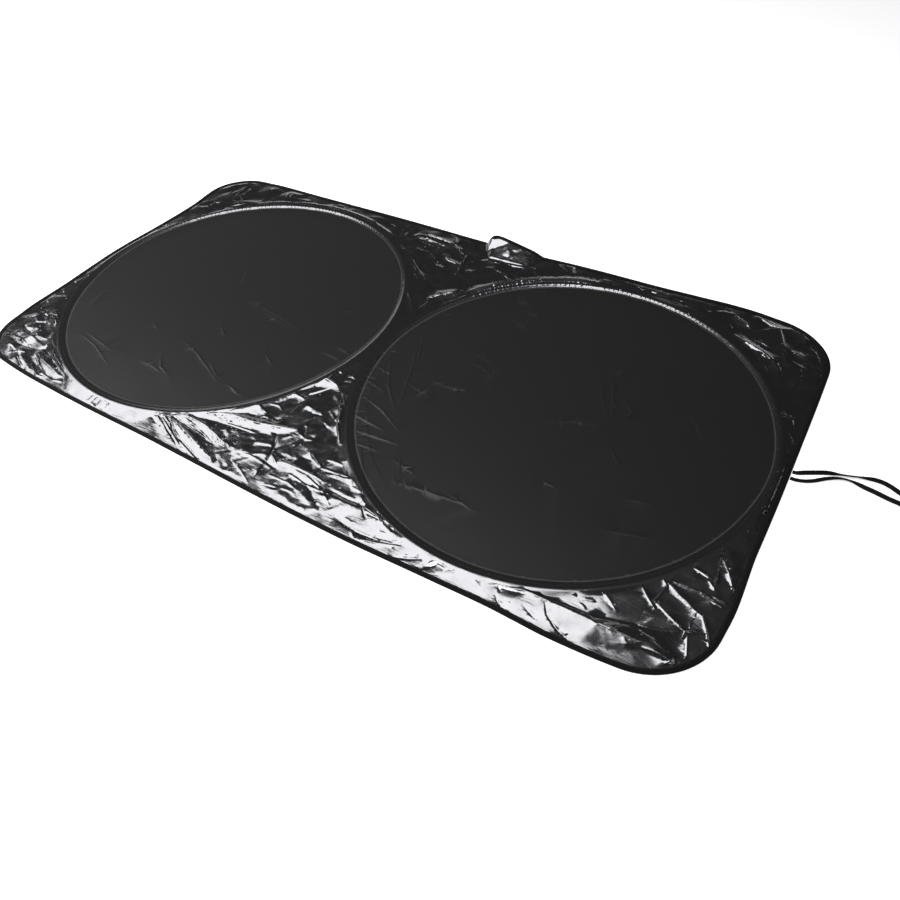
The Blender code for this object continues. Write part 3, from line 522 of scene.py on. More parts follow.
class Shader:
    """A node tree under construction, with short calls for its nodes and links."""

    def __init__(self, name):
        self.material = bpy.data.materials.new(name)
        self.material.use_nodes = True
        self.tree = self.material.node_tree
        self.surface = self.tree.nodes["Principled BSDF"]
        self.row = 0

    def node(self, kind, **settings):
        """A new node with the settings given."""
        node = self.tree.nodes.new(kind)
        self.row += 1
        node.location = (-220 * (self.row % 8) - 250, -180 * (self.row // 8))
        for key, value in settings.items():
            setattr(node, key, value)
        return node

    def feed(self, socket, value):
        """Links another node's output to the socket, or sets a plain value on it."""
        if isinstance(value, bpy.types.NodeSocket):
            self.tree.links.new(value, socket)
        else:
            socket.default_value = value

    def math(self, operation, first, second=0.0):
        """The result of one operation on two values."""
        node = self.node("ShaderNodeMath", operation=operation)
        self.feed(node.inputs[0], first)
        self.feed(node.inputs[1], second)
        return node.outputs[0]

    def place(self):
        """Object coordinates."""
        return self.node("ShaderNodeTexCoord").outputs["Object"]

    def noise(self, vector, scale, detail, roughness):
        """Soft noise between 0 and 1."""
        node = self.node("ShaderNodeTexNoise")
        self.feed(node.inputs["Vector"], vector)
        node.inputs["Scale"].default_value = scale
        node.inputs["Detail"].default_value = detail
        node.inputs["Roughness"].default_value = roughness
        return node.outputs["Fac"]

    def attribute(self, name):
        """A value that the mesh stores at its points."""
        return self.node("ShaderNodeAttribute", attribute_name=name).outputs["Fac"]

    def span(self, value, from_low, from_high, to_low=0.0, to_high=1.0):
        """The value moved smoothly from one range to another."""
        node = self.node("ShaderNodeMapRange", interpolation_type="SMOOTHSTEP")
        for socket, number in zip(node.inputs, (value, from_low, from_high, to_low, to_high)):
            self.feed(socket, number)
        return node.outputs[0]

    def bump(self, height, strength, distance, normal=None):
        """A normal raised by the height, on top of another one where it is given."""
        node = self.node("ShaderNodeBump")
        node.inputs["Strength"].default_value = strength
        node.inputs["Distance"].default_value = distance
        self.feed(node.inputs["Height"], height)
        if normal is not None:
            self.feed(node.inputs["Normal"], normal)
        return node.outputs[0]

    def blend_colour(self, share, first, second):
        """The first colour at a share of 0 and the second at 1."""
        node = self.node("ShaderNodeMix", data_type="RGBA")
        self.feed(node.inputs[0], share)
        self.feed(node.inputs[6], first)
        self.feed(node.inputs[7], second)
        return node.outputs[2]


def film_material():
    """Black coated film: glossy where it is slack, duller where it is stretched."""
    film = group("sunshade_film")
    shader = Shader("coated_film")
    place = shader.place()
    loose = shader.attribute("loose")
    slack = shader.attribute("slack")
    mottle = shader.noise(place, 45, 3, 0.6)
    weave = shader.noise(place, 1600, 2, 0.6)
    shader.feed(shader.surface.inputs["Base Color"],
                shader.blend_colour(loose, (*film.taut_colour, 1), (*film.sheen_colour, 1)))
    shader.feed(shader.surface.inputs["Metallic"], shader.span(loose, 0, 1, 0, 0.94))
    shader.surface.inputs["Specular IOR Level"].default_value = 0.2
    rough = shader.span(loose, 0, 1, film.taut_roughness, film.loose_roughness)
    uneven = shader.math("MULTIPLY", shader.span(mottle, 0.3, 0.7, -0.04, 0.05), slack)
    shader.feed(shader.surface.inputs["Roughness"], shader.math("ADD", rough, uneven))
    stretched = shader.node("ShaderNodeMapping")
    shader.feed(stretched.inputs["Vector"], place)
    stretched.inputs["Scale"].default_value = (22, 90, 20)
    stretched.inputs["Rotation"].default_value = (0, 0, math.radians(9))
    streaks = shader.noise(stretched.outputs[0], 1.0, 2, 0.5)
    streaks = shader.span(shader.math("ABSOLUTE", shader.math("SUBTRACT", streaks, 0.5)), 0, 0.1)
    normal = shader.bump(shader.math("MULTIPLY", streaks, slack), 0.1, 0.0005)
    normal = shader.bump(weave, 0.08, 0.0001, normal)
    shader.feed(shader.surface.inputs["Normal"], normal)
    return shader.material


def back_material():
    """Silver coating on the film's underside."""
    film = group("sunshade_film")
    shader = Shader("silver_back")
    place = shader.place()
    shader.surface.inputs["Base Color"].default_value = (*film.back_colour, 1)
    shader.surface.inputs["Metallic"].default_value = 0.8
    mottle = shader.noise(place, 40, 3, 0.6)
    shader.feed(shader.surface.inputs["Roughness"], shader.span(mottle, 0.2, 0.8, 0.36, 0.5))
    normal = shader.bump(shader.noise(place, 70, 4, 0.6), 0.4, 0.0015)
    shader.feed(shader.surface.inputs["Normal"], normal)
    return shader.material


def tape_material(name, colour):
    """Matte woven tape with fine ribs across it."""
    tape = group("sunshade_tape")
    shader = Shader(name)
    place = shader.place()
    fray = shader.noise(place, 900, 3, 0.6)
    light = tuple(min(1, part * 2.2 + 0.002) for part in colour)
    shader.feed(shader.surface.inputs["Base Color"],
                shader.blend_colour(shader.span(fray, 0.35, 0.75), (*colour, 1), (*light, 1)))
    shader.surface.inputs["Roughness"].default_value = 0.82
    shader.surface.inputs["Specular IOR Level"].default_value = 0.15
    wave = shader.node("ShaderNodeTexWave", wave_type="BANDS", bands_direction="DIAGONAL")
    shader.feed(wave.inputs["Vector"], place)
    wave.inputs["Scale"].default_value = 0.1 / tape.weave
    wave.inputs["Distortion"].default_value = 1.0
    normal = shader.bump(wave.outputs["Fac"], 0.4, 0.0003)
    normal = shader.bump(fray, 0.3, 0.0003, normal)
    shader.feed(shader.surface.inputs["Normal"], normal)
    return shader.material


def thread_material():
    """Twisted sewing thread."""
    tape = group("sunshade_tape")
    shader = Shader("sewing_thread")
    place = shader.place()
    shader.surface.inputs["Base Color"].default_value = (*tape.thread_colour, 1)
    shader.surface.inputs["Roughness"].default_value = 0.6
    wave = shader.node("ShaderNodeTexWave", wave_type="BANDS", bands_direction="DIAGONAL")
    shader.feed(wave.inputs["Vector"], place)
    wave.inputs["Scale"].default_value = 900
    shader.feed(shader.surface.inputs["Normal"], shader.bump(wave.outputs["Fac"], 0.5, 0.0001))
    return shader.material


def steel_material():
    """Spring-steel wire, drawn along its length."""
    shader = Shader("spring_steel_wire")
    place = shader.place()
    shader.surface.inputs["Base Color"].default_value = (0.42, 0.42, 0.43, 1)
    shader.surface.inputs["Metallic"].default_value = 1.0
    grain = shader.noise(place, 500, 3, 0.6)
    shader.feed(shader.surface.inputs["Roughness"], shader.span(grain, 0.2, 0.8, 0.28, 0.42))
    return shader.material


def packed_copy(node):
    """The node's triangles with their shared corners merged."""
    work = bmesh.new()
    work.from_mesh(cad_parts[node].data)
    bmesh.ops.remove_doubles(work, verts=work.verts, dist=1e-6)
    return work


def add_object(name, mesh):
    """A new object in the scene, at the origin."""
    item = bpy.data.objects.new(name, mesh)
    bpy.context.collection.objects.link(item)
    return item


def refine(work, longest):
    """Splits every edge that is longer than is wanted at its middle."""
    for _ in range(MOST_SPLITS):
        edges = [edge for edge in work.edges if edge.calc_length() > longest(edge)]
        if not edges:
            break
        bmesh.ops.subdivide_edges(work, edges=edges, cuts=1, use_grid_fill=True)
        crowded = [face for face in work.faces if len(face.verts) > 3]
        bmesh.ops.triangulate(work, faces=crowded)


def mesh_points(mesh):
    """The mesh's points, a row of x, y and z for each."""
    points = np.empty(len(mesh.vertices) * 3)
    mesh.vertices.foreach_get("co", points)
    return points.reshape(-1, 3)


def ramp(value, start, reach):
    """0 up to the start, then growing evenly to 1 over the reach."""
    return np.clip((value - start) / reach, 0, 1)


def hoop_place(points):
    """Distance out from the nearer hoop's wire, angle round it and its centre, for each point."""
    centres = np.where(points[:, 0] < 0, HOOP_CENTRES[0], HOOP_CENTRES[1])
    across = points[:, 0] - centres
    along = points[:, 1] - HOOP_MIDDLE
    return np.hypot(across, along) - HOOP_RADIUS, np.arctan2(along, across), centres


def rounded_hoops(points):
    """Moves the film over the hoops from the solids' many-sided rings to true circles."""
    out, angle, centres = hoop_place(points)
    step = 2 * math.pi / HOOP_STATIONS
    turn = np.mod(angle, step) - step / 2
    short = 1 - math.cos(step / 2) / np.cos(turn)
    near = np.clip(1 - np.abs(out) / 0.03, 0, 1)
    grow = 1 + short * np.minimum(1, near * 2)
    result = points.copy()
    result[:, 0] = centres + (points[:, 0] - centres) * grow
    result[:, 1] = HOOP_MIDDLE + (points[:, 1] - HOOP_MIDDLE) * grow
    return result


def rim_height(rim, inwards):
    """Height of one of the rim's profiles at each distance inwards from the wire."""
    return np.interp(inwards, *(np.array(rim).T * MM))


def inside_height(points):
    """Height of the film's top inside the hoops: the slope, the disc and their wrinkles."""
    out, angle, _ = hoop_place(points)
    far = far_share(angle)
    rim = far * rim_height(FAR_RIM, -out) + (1 - far) * rim_height(NEAR_RIM, -out)
    wrinkles = WRINKLE_SCALE * crease_height(points, DISC_WRINKLES, 0.45)
    return rim + wrinkles * ramp(-out, *WRINKLE_START) + gathered_height(points)


def far_share(angle):
    """1 on a hoop's far side, 0 on its near side and a smooth change between."""
    share = np.clip((np.sin(angle) + 0.35) / 0.5, 0, 1)
    return share * share * (3 - 2 * share)


def inside_normals(points):
    """Upward normals of the film's top inside the hoops, from heights a step to each side."""
    slopes = []
    for axis in (0, 1):
        shift = np.zeros(3)
        shift[axis] = SLOPE_STEP
        rise = inside_height(points + shift) - inside_height(points - shift)
        slopes.append(rise / (2 * SLOPE_STEP))
    normals = np.stack((-slopes[0], -slopes[1], np.ones(len(points))), 1)
    return normals / np.linalg.norm(normals, axis=1)[:, None]


def window(value, low, high, fade):
    """1 between low and high, falling smoothly to 0 over the fade inside both ends."""
    share = np.clip(np.minimum(value - low, high - value) / fade, 0, 1)
    return share * share * (3 - 2 * share)


def distance_along(points, path):
    """Each point's distance from the path and the share of the path's length there."""
    best = np.full(len(points), 1e9)
    share = np.zeros(len(points))
    corners = [np.array(corner, dtype=float) * MM for corner in path]
    total = sum(np.hypot(*(b - a)) for a, b in zip(corners, corners[1:]))
    passed = 0.0
    for start, end in zip(corners, corners[1:]):
        run = end - start
        length = np.hypot(*run)
        along = np.clip((points - start) @ run / length ** 2, 0, 1)
        gap = np.hypot(*(points - start - along[:, None] * run).T)
        nearer = gap < best
        best[nearer] = gap[nearer]
        share[nearer] = (passed + along[nearer] * length) / total
        passed += length
    return best, share


def crease_height(points, creases, fade):
    """Sum of the creases at each point; each runs out towards its ends over the fade."""
    total = np.zeros(len(points))
    order = np.argsort(points[:, 0])
    sorted_x = points[order, 0]
    for half_width, height, *path in creases:
        reach = half_width * MM
        xs = [corner[0] * MM for corner in path]
        first, last = np.searchsorted(sorted_x, (min(xs) - reach, max(xs) + reach))
        chosen = order[first:last]
        gap, share = distance_along(points[chosen, :2], path)
        end = np.clip(np.minimum(share, 1 - share) / fade, 0, 1)
        total[chosen] += height * MM * np.clip(1 - gap / reach, 0, 1) * (0.25 + 0.75 * end)
    return total


def gathered_height(points):
    """Ribs across the hoops' edges and the film that stands up beside them."""
    out, angle, centres = hoop_place(points)
    turn = np.degrees(angle)
    left = centres == HOOP_CENTRES[0]
    total = np.zeros(len(points))
    for hoop, first, last, low, high, spacing, height in GATHERS:
        there = (left == (hoop == 0)) & (np.abs(np.mod(turn - first, 360)) < last - first)
        turned = np.mod(turn - first, 360)
        along = np.radians(turned) * HOOP_RADIUS
        wobble = (1.3 * np.sin(along / (2.7 * spacing * MM))
                  + 0.9 * np.sin(along / (1.13 * spacing * MM)))
        lean = (out - low * MM) / (high - low) / MM
        turns = 2 * math.pi * along / (spacing * MM)
        # Three waves of unlike lengths, so that no two ribs are the same.
        wave = (0.5 * np.sin(turns + 1.6 * wobble + 0.8 * lean)
                + 0.3 * np.sin(1.618 * turns + 1.3 - 1.2 * lean + wobble)
                + 0.3 * np.sin(0.55 * turns + 0.7 + 1.9 * lean))
        wave *= 0.6 + 0.4 * np.sin(along / (3.7 * spacing * MM) + 2.3 * lean)
        shape = window(turned, 0, last - first, 6) * window(out, low * MM, high * MM, 4 * MM)
        total += np.where(there, height * MM * (0.5 + 0.5 * wave) * shape, 0)
    for hoop, first, last, middle, half_width, height in ROLLS:
        turned = np.mod(turn - first, 360)
        there = (left == (hoop == 0)) & (turned < last - first)
        share = np.clip(1 - np.abs(out / MM - middle) / half_width, 0, 1)
        total += np.where(there, height * MM * share * window(turned, 0, last - first, 8), 0)
    return total


def calmed(points):
    """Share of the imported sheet's folds that is kept at each point."""
    keep = np.ones(len(points))
    for low_x, high_x, low_y, high_y, fade, share in CALM_PLACES:
        there = (window(points[:, 0], low_x * MM, high_x * MM, fade * MM)
                 * window(points[:, 1], low_y * MM, high_y * MM, fade * MM))
        keep -= there * (1 - share) * keep
    return keep


def mark_bands(cells):
    """Marks the ribs and the standing film beside the hoops in the plan grid."""
    bands = [(row[:5], row[5] * MM / RIB_EDGES) for row in GATHERS]
    bands += [((hoop, first, last, middle - half_width, middle + half_width), ROLL_EDGE)
              for hoop, first, last, middle, half_width, height in ROLLS]
    for (hoop, first, last, low, high), wanted in bands:
        for turn in np.arange(first, last, BAND_TURN):
            for out in np.arange(low, high, BAND_OUT):
                radius = HOOP_RADIUS + out * MM
                x = HOOP_CENTRES[hoop] + radius * math.cos(math.radians(turn))
                y = HOOP_MIDDLE + radius * math.sin(math.radians(turn))
                place = cell_at(x, y)
                cells[place] = min(cells[place], wanted)


def fine_cells(film):
    """Longest edge wanted in each cell of a plan grid, for the creases, wrinkles and ribs."""
    columns = int(2 * HALF_LENGTH / CELL) + 8
    rows = int(2 * HALF_WIDTH / CELL) + 8
    cells = np.full((columns, rows), film.taut_step)
    steps = [(film.crease_step, crease) for crease in SHARP_CREASES + FAR_FOLDS]
    steps += [(WRINKLE_STEPS * film.crease_step, wrinkle) for wrinkle in DISC_WRINKLES]
    for share, (half_width, height, *path) in steps:
        wanted = max(share * half_width, SHORTEST_EDGE)
        reach = round(half_width * MM / CELL)
        for start, end in zip(path, path[1:]):
            pieces = int(math.dist(start, end)) + 1
            for piece in range(pieces + 1):
                x = (start[0] + (end[0] - start[0]) * piece / pieces) * MM
                y = (start[1] + (end[1] - start[1]) * piece / pieces) * MM
                column, row = cell_at(x, y)
                there = cells[max(column - reach, 0):column + reach + 1,
                              max(row - reach, 0):row + reach + 1]
                np.minimum(there, wanted, out=there)
    for low_x, high_x, low_y, high_y, wanted in FINE_PLACES:
        column, row = cell_at(low_x * MM, low_y * MM)
        end_column, end_row = cell_at(high_x * MM, high_y * MM)
        there = cells[column:end_column, row:end_row]
        np.minimum(there, wanted * MM, out=there)
    mark_bands(cells)
    return cells


def cell_at(x, y):
    """Column and row of the cell that holds a place on the sheet."""
    return int((x + HALF_LENGTH) / CELL) + 2, int((y + HALF_WIDTH) / CELL) + 2


def fold_lines(seed):
    """Chance creases on the loose film: middle, direction, half length, half width and height."""
    chance = random.Random(seed)
    lines = []
    while len(lines) < CHANCE_CREASES:
        x = chance.uniform(-HALF_LENGTH, HALF_LENGTH)
        y = chance.uniform(-HALF_WIDTH, HALF_WIDTH)
        if len(lines) >= FLAP_FROM:
            x = chance.uniform(*FLAP_PLACE[0])
            y = chance.uniform(*FLAP_PLACE[1])
        elif len(lines) >= MIDDLE_FROM:
            x = chance.uniform(*MIDDLE_PLACE[0])
            y = chance.uniform(*MIDDLE_PLACE[1])
        centre = HOOP_CENTRES[0] if x < 0 else HOOP_CENTRES[1]
        if math.hypot(x - centre, y - HOOP_MIDDLE) < HOOP_RADIUS + CHANCE_CLEAR:
            continue
        angle = chance.gauss(0, 0.7) if abs(y) > 0.3 else chance.uniform(0, math.pi)
        half_length = chance.uniform(0.008, 0.032)
        half_width = chance.uniform(0.0035, 0.007)
        lines.append((x, y, angle, half_length, half_width, chance.uniform(0.1, 0.4) * MM))
    return lines


def folded_height(points, lines):
    """Sum of the tent-shaped ridges at each point."""
    total = np.zeros(len(points))
    order = np.argsort(points[:, 0])
    sorted_x = points[order, 0]
    for x, y, angle, half_length, half_width, height in lines:
        reach = half_length + half_width
        first, last = np.searchsorted(sorted_x, (x - reach, x + reach))
        chosen = order[first:last]
        dx = points[chosen, 0] - x
        dy = points[chosen, 1] - y
        along = dx * math.cos(angle) + dy * math.sin(angle)
        across = -dx * math.sin(angle) + dy * math.cos(angle)
        ridge = np.clip(1 - np.abs(across) / half_width, 0, 1)
        fade = np.clip(1.6 * (1 - np.abs(along) / half_length), 0, 1)
        total[chosen] += height * ridge * fade
    return total


def edge_room(points):
    """Distance inside the sheet's outline, near enough for fading detail out."""
    return np.minimum(HALF_LENGTH - np.abs(points[:, 0]), HALF_WIDTH - np.abs(points[:, 1]))


def film_edge(film, cells, edge):
    """The longest edge wanted where this edge lies."""
    middle = (edge.verts[0].co + edge.verts[1].co) / 2
    centre = HOOP_CENTRES[0] if middle.x < 0 else HOOP_CENTRES[1]
    out = math.hypot(middle.x - centre, middle.y - HOOP_MIDDLE) - HOOP_RADIUS
    if not any(face.normal.z > LEVEL for face in edge.link_faces):
        near = abs(out + HIDDEN_MIDDLE) < HIDDEN_HALF
        return HIDDEN_SHARE * film.hidden_step if near else film.hidden_step
    wanted = cells[cell_at(middle.x, middle.y)]
    if abs(out + RIM_HALF) < RIM_HALF:
        return min(wanted, film.rim_step)
    return min(wanted, film.taut_step if out < -TAUT_INSIDE else film.loose_step)


def thinned(mesh, most):
    """The same form with as many triangles as are allowed, fewest where it is flat."""
    if len(mesh.polygons) <= most:
        return mesh
    item = add_object("thinned", mesh)
    modifier = item.modifiers.new("thin", "DECIMATE")
    modifier.ratio = most / len(mesh.polygons)
    modifier.use_collapse_triangulate = True
    graph = bpy.context.evaluated_depsgraph_get()
    result = bpy.data.meshes.new_from_object(item.evaluated_get(graph))
    bpy.data.objects.remove(item)
    result.name = "film"
    return result


def upper_corners(mesh):
    """Whether each corner of a triangle mesh lies on its upper side."""
    count = len(mesh.polygons)
    corners = np.empty(3 * count, dtype=np.int32)
    mesh.polygons.foreach_get("vertices", corners)
    normals = np.empty(3 * count)
    mesh.polygons.foreach_get("normal", normals)
    upper = np.zeros(len(mesh.vertices), dtype=bool)
    upper[corners.reshape(-1, 3)[normals.reshape(-1, 3)[:, 2] > LEVEL]] = True
    return upper


def creased(points, upper, seed):
    """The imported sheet's points with the film's creases, calmer places and taut discs."""
    points = rounded_hoops(points)
    out = hoop_place(points)[0]
    room = edge_room(points)
    detail = folded_height(points, fold_lines(seed)) + crease_height(points, SHARP_CREASES, 0.2)
    detail += crease_height(points, WIDE_FOLDS, 0.3)
    detail *= ramp(out, *CREASE_START)
    detail += gathered_height(points)
    detail *= ramp(room, *EDGE_START)
    beside = ramp(out, *CALM_START)
    base = np.where(upper, CALM_TOP, CALM_UNDERSIDE)
    drop = np.maximum(points[:, 2] - base, 0) * (1 - calmed(points)) * beside
    drop += np.where(upper, 0, UNDERSIDE_DROP) * beside * ramp(room, *UNDERSIDE_START)
    points[:, 2] = np.maximum(points[:, 2] - drop, np.minimum(points[:, 2], LOWEST_SHEET))
    dented = np.maximum(points[:, 2] + detail, np.minimum(points[:, 2], LOWEST_TOP))
    inside = out < -FAR_RIM[0][0] * MM
    level = inside_height(points)
    points[:, 2] = np.where(inside, level, np.where(upper, dented, points[:, 2]))
    flat = np.maximum(rim_height(FAR_RIM, -out) - UNDERSIDE_DROP, LOWEST_DISC)
    points[:, 2] = np.where(inside & ~upper, flat, points[:, 2])
    return points


def finish_film(mesh):
    """Stores where the film is glossy and slack, smooths it and lays its materials on."""
    points = mesh_points(mesh)
    out, angle, _ = hoop_place(points)
    glossy = np.clip((out + GLOSS_INSIDE - GLOSS_SHIFT * far_share(angle)) / GLOSS_FADE, 0, 1)
    share = mesh.attributes.new("loose", "FLOAT", "POINT")
    share.data.foreach_set("value", glossy)
    share = mesh.attributes.new("slack", "FLOAT", "POINT")
    share.data.foreach_set("value", ramp(out, *SLACK_START))
    mesh.shade_smooth()
    normals = np.empty(len(points) * 3)
    mesh.vertices.foreach_get("normal", normals)
    normals = normals.reshape(-1, 3)
    exact = (out < -FAR_RIM[0][0] * MM) & upper_corners(mesh)
    normals[exact] = inside_normals(points[exact])
    mesh.normals_split_custom_set_from_vertices(normals)
    mesh.materials.append(film_material())
    mesh.materials.append(back_material())


class SUNSHADE_OT_film(bpy.types.Operator):
    """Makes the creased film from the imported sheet"""
    bl_idname = "sunshade.film"
    bl_label = "Film"

    def execute(self, context):
        film = context.scene.sunshade_film
        work = packed_copy("panel")
        cells = fine_cells(film)
        refine(work, lambda edge: film_edge(film, cells, edge))
        work.verts.ensure_lookup_table()
        upper = np.array([any(face.normal.z > LEVEL for face in vertex.link_faces)
                          for vertex in work.verts])
        for face in work.faces:
            face.material_index = 1 if face.normal.z < -LEVEL else 0
        mesh = bpy.data.meshes.new("film")
        work.to_mesh(mesh)
        work.free()
        points = creased(mesh_points(mesh), upper, film.seed)
        mesh.vertices.foreach_set("co", points.reshape(-1))
        mesh = thinned(mesh, film.most_triangles)
        finish_film(mesh)
        item = add_object("film", mesh)
        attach(item, "root")
        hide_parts("panel")
        return {"FINISHED"}


def binding_outline():
    """Corners of the sheet's outline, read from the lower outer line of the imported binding."""
    work = packed_copy("edge_binding")
    levels = {}
    for vertex in work.verts:
        levels.setdefault((round(vertex.co.x, 5), round(vertex.co.y, 5)), []).append(vertex)
    outer = {}
    for vertices in levels.values():
        vertices.sort(key=lambda vertex: vertex.co.z)
        tall = vertices[-1].co.z - vertices[0].co.z
        if len(vertices) == 2 and abs(tall - BINDING_HEIGHT) < 2e-5:
            outer[vertices[0].index] = vertices[0]
    start = next(iter(outer.values()))
    ring = [start]
    while True:
        onward = [edge.other_vert(ring[-1]) for edge in ring[-1].link_edges]
        onward = [vertex for vertex in onward if vertex.index in outer and vertex not in ring[-2:]]
        if not onward or onward[0] is start:
            break
        ring.append(onward[0])
    points = [vertex.co.copy() for vertex in ring]
    work.free()
    turning = sum(a.x * b.y - b.x * a.y for a, b in zip(points, points[1:] + points[:1]))
    return points if turning > 0 else points[::-1]


def smooth_loop(points, step):
    """A closed smooth curve through the points, with a point about every step."""
    result = []
    count = len(points)
    for index in range(count):
        before, start = points[index - 1], points[index]
        end, after = points[(index + 1) % count], points[(index + 2) % count]
        length = (end - start).length
        lead = (end - before) * (length / ((end - start).length + (start - before).length))
        follow = (after - start) * (length / ((after - end).length + length))
        pieces = max(1, round(length / step))
        for piece in range(pieces):
            share = piece / pieces
            square = share * share
            cube = square * share
            result.append(start * (2 * cube - 3 * square + 1) + lead * (cube - 2 * square + share)
                          + end * (3 * square - 2 * cube) + follow * (cube - square))
    return result


def level_normals(points):
    """Unit normals that point inwards and lie level, for a loop that runs leftwards round."""
    result = []
    for before, after in zip(points[-1:] + points[:-1], points[1:] + points[:1]):
        along = after - before
        result.append(Vector((-along.y, along.x, 0)).normalized())
    return result


def swept_mesh(name, rings):
    """A closed band through the rings, each of which is a closed section."""
    count = len(rings[0])
    vertices = [point for ring in rings for point in ring]
    faces = []
    for index in range(len(rings)):
        here = index * count
        there = (index + 1) % len(rings) * count
        for side in range(count):
            onward = (side + 1) % count
            faces.append((here + side, here + onward, there + onward, there + side))
    mesh = bpy.data.meshes.new(name)
    mesh.from_pydata(vertices, [], faces)
    work = bmesh.new()
    work.from_mesh(mesh)
    bmesh.ops.recalc_face_normals(work, faces=work.faces)
    work.to_mesh(mesh)
    work.free()
    mesh.shade_smooth()
    return mesh


def thread_tree(name, thread):
    """Geometry Nodes that lay stitches of thread along the edges of the mesh put in."""
    tree = bpy.data.node_groups.new(name, "GeometryNodeTree")
    face = tree.interface
    face.new_socket("Geometry", in_out="INPUT", socket_type="NodeSocketGeometry")
    for label in ("Pitch", "Stitch length", "Thread radius"):
        face.new_socket(label, in_out="INPUT", socket_type="NodeSocketFloat")
    face.new_socket("Geometry", in_out="OUTPUT", socket_type="NodeSocketGeometry")
    nodes = tree.nodes
    links = tree.links
    given = nodes.new("NodeGroupInput")
    curve = nodes.new("GeometryNodeMeshToCurve")
    spaced = nodes.new("GeometryNodeResampleCurve")
    spaced.mode = "LENGTH"
    ball = nodes.new("GeometryNodeMeshUVSphere")
    ball.inputs["Segments"].default_value = 6
    ball.inputs["Rings"].default_value = 5
    ball.inputs["Radius"].default_value = 1.0
    half = nodes.new("ShaderNodeMath")
    half.operation = "MULTIPLY"
    half.inputs[1].default_value = 0.5
    size = nodes.new("ShaderNodeCombineXYZ")
    placed = nodes.new("GeometryNodeInstanceOnPoints")
    tangent = nodes.new("GeometryNodeInputTangent")
    turn = nodes.new("FunctionNodeAlignEulerToVector")
    turn.axis = "Z"
    chance = nodes.new("FunctionNodeRandomValue")
    chance.data_type = "FLOAT"
    chance.inputs["Min"].default_value = 0.85
    chance.inputs["Max"].default_value = 1.1
    chance.inputs["Seed"].default_value = 3
    real = nodes.new("GeometryNodeRealizeInstances")
    painted = nodes.new("GeometryNodeSetMaterial")
    painted.inputs["Material"].default_value = thread
    result = nodes.new("NodeGroupOutput")
    scaled = nodes.new("ShaderNodeVectorMath")
    scaled.operation = "SCALE"
    for output, socket in (
        (given.outputs["Geometry"], curve.inputs["Mesh"]),
        (curve.outputs["Curve"], spaced.inputs["Curve"]),
        (given.outputs["Pitch"], spaced.inputs["Length"]),
        (spaced.outputs["Curve"], placed.inputs["Points"]),
        (ball.outputs["Mesh"], placed.inputs["Instance"]),
        (tangent.outputs["Tangent"], turn.inputs["Vector"]),
        (turn.outputs["Rotation"], placed.inputs["Rotation"]),
        (given.outputs["Stitch length"], half.inputs[0]),
        (given.outputs["Thread radius"], size.inputs["X"]),
        (given.outputs["Thread radius"], size.inputs["Y"]),
        (half.outputs[0], size.inputs["Z"]),
        (size.outputs[0], scaled.inputs[0]),
        (chance.outputs["Value"], scaled.inputs["Scale"]),
        (scaled.outputs[0], placed.inputs["Scale"]),
        (placed.outputs["Instances"], real.inputs["Geometry"]),
        (real.outputs["Geometry"], painted.inputs["Geometry"]),
        (painted.outputs["Geometry"], result.inputs["Geometry"]),
    ):
        links.new(output, socket)
    return tree


def sewn_row(name, path, closed, thread):
    """Stitches along a path, as one plain mesh object."""
    tape = group("sunshade_tape")
    line = bpy.data.meshes.new(name)
    edges = [(index, index + 1) for index in range(len(path) - 1)]
    if closed:
        edges.append((len(path) - 1, 0))
    line.from_pydata(path, edges, [])
    item = add_object(name, line)
    modifier = item.modifiers.new("stitches", "NODES")
    modifier.node_group = thread_tree(name, thread)
    sizes = {"Pitch": tape.stitch_pitch, "Stitch length": tape.stitch_length,
             "Thread radius": tape.thread_radius}
    for socket in modifier.node_group.interface.items_tree:
        if socket.in_out == "INPUT" and socket.name in sizes:
            modifier[socket.identifier] = sizes[socket.name]
    graph = bpy.context.evaluated_depsgraph_get()
    mesh = bpy.data.meshes.new_from_object(item.evaluated_get(graph))
    item.modifiers.clear()
    item.data = mesh
    mesh.name = name
    mesh.shade_smooth()
    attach(item, "root")
    return item


# The folded tape's section in millimetres: distance inwards from the outline, and height.
BINDING_SECTION = (
    (0.0, 1.05), (0.12, 1.6), (0.5, 2.0), (1.2, 2.12), (4.0, 2.16), (7.2, 2.12), (8.3, 2.02),
    (8.5, 1.85), (8.3, 1.66), (7.2, 1.6), (1.6, 1.6), (0.8, 1.4), (0.6, 1.05), (0.8, 0.7),
    (1.6, 0.5), (8.3, 0.5), (8.5, 0.28), (8.3, 0.04), (7.6, 0.0), (1.2, 0.0), (0.5, 0.1),
    (0.12, 0.5),
)
BINDING_STITCH = (6.3, 2.26)


class SUNSHADE_OT_binding(bpy.types.Operator):
    """Makes the tape that binds the edge, and its row of stitches"""
    bl_idname = "sunshade.binding"
    bl_label = "Edge binding"

    def execute(self, context):
        tape = context.scene.sunshade_tape
        outline = smooth_loop(binding_outline(), tape.station)
        for point in outline:
            point.z = max(point.z, 0)
        normals = level_normals(outline)
        up = Vector((0, 0, 1))
        rings = [[point + normal * into * MM + up * height * MM for into, height in BINDING_SECTION]
                 for point, normal in zip(outline, normals)]
        mesh = swept_mesh("edge_tape", rings)
        mesh.materials.append(tape_material("binding_weave", tape.colour))
        item = add_object("edge_tape", mesh)
        into, height = BINDING_STITCH
        path = [point + normal * into * MM + up * height * MM
                for point, normal in zip(outline, normals)]
        row = sewn_row("edge_stitches", path, True, thread_material())
        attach(item, "root")
        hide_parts("edge_binding")
        return {"FINISHED"}


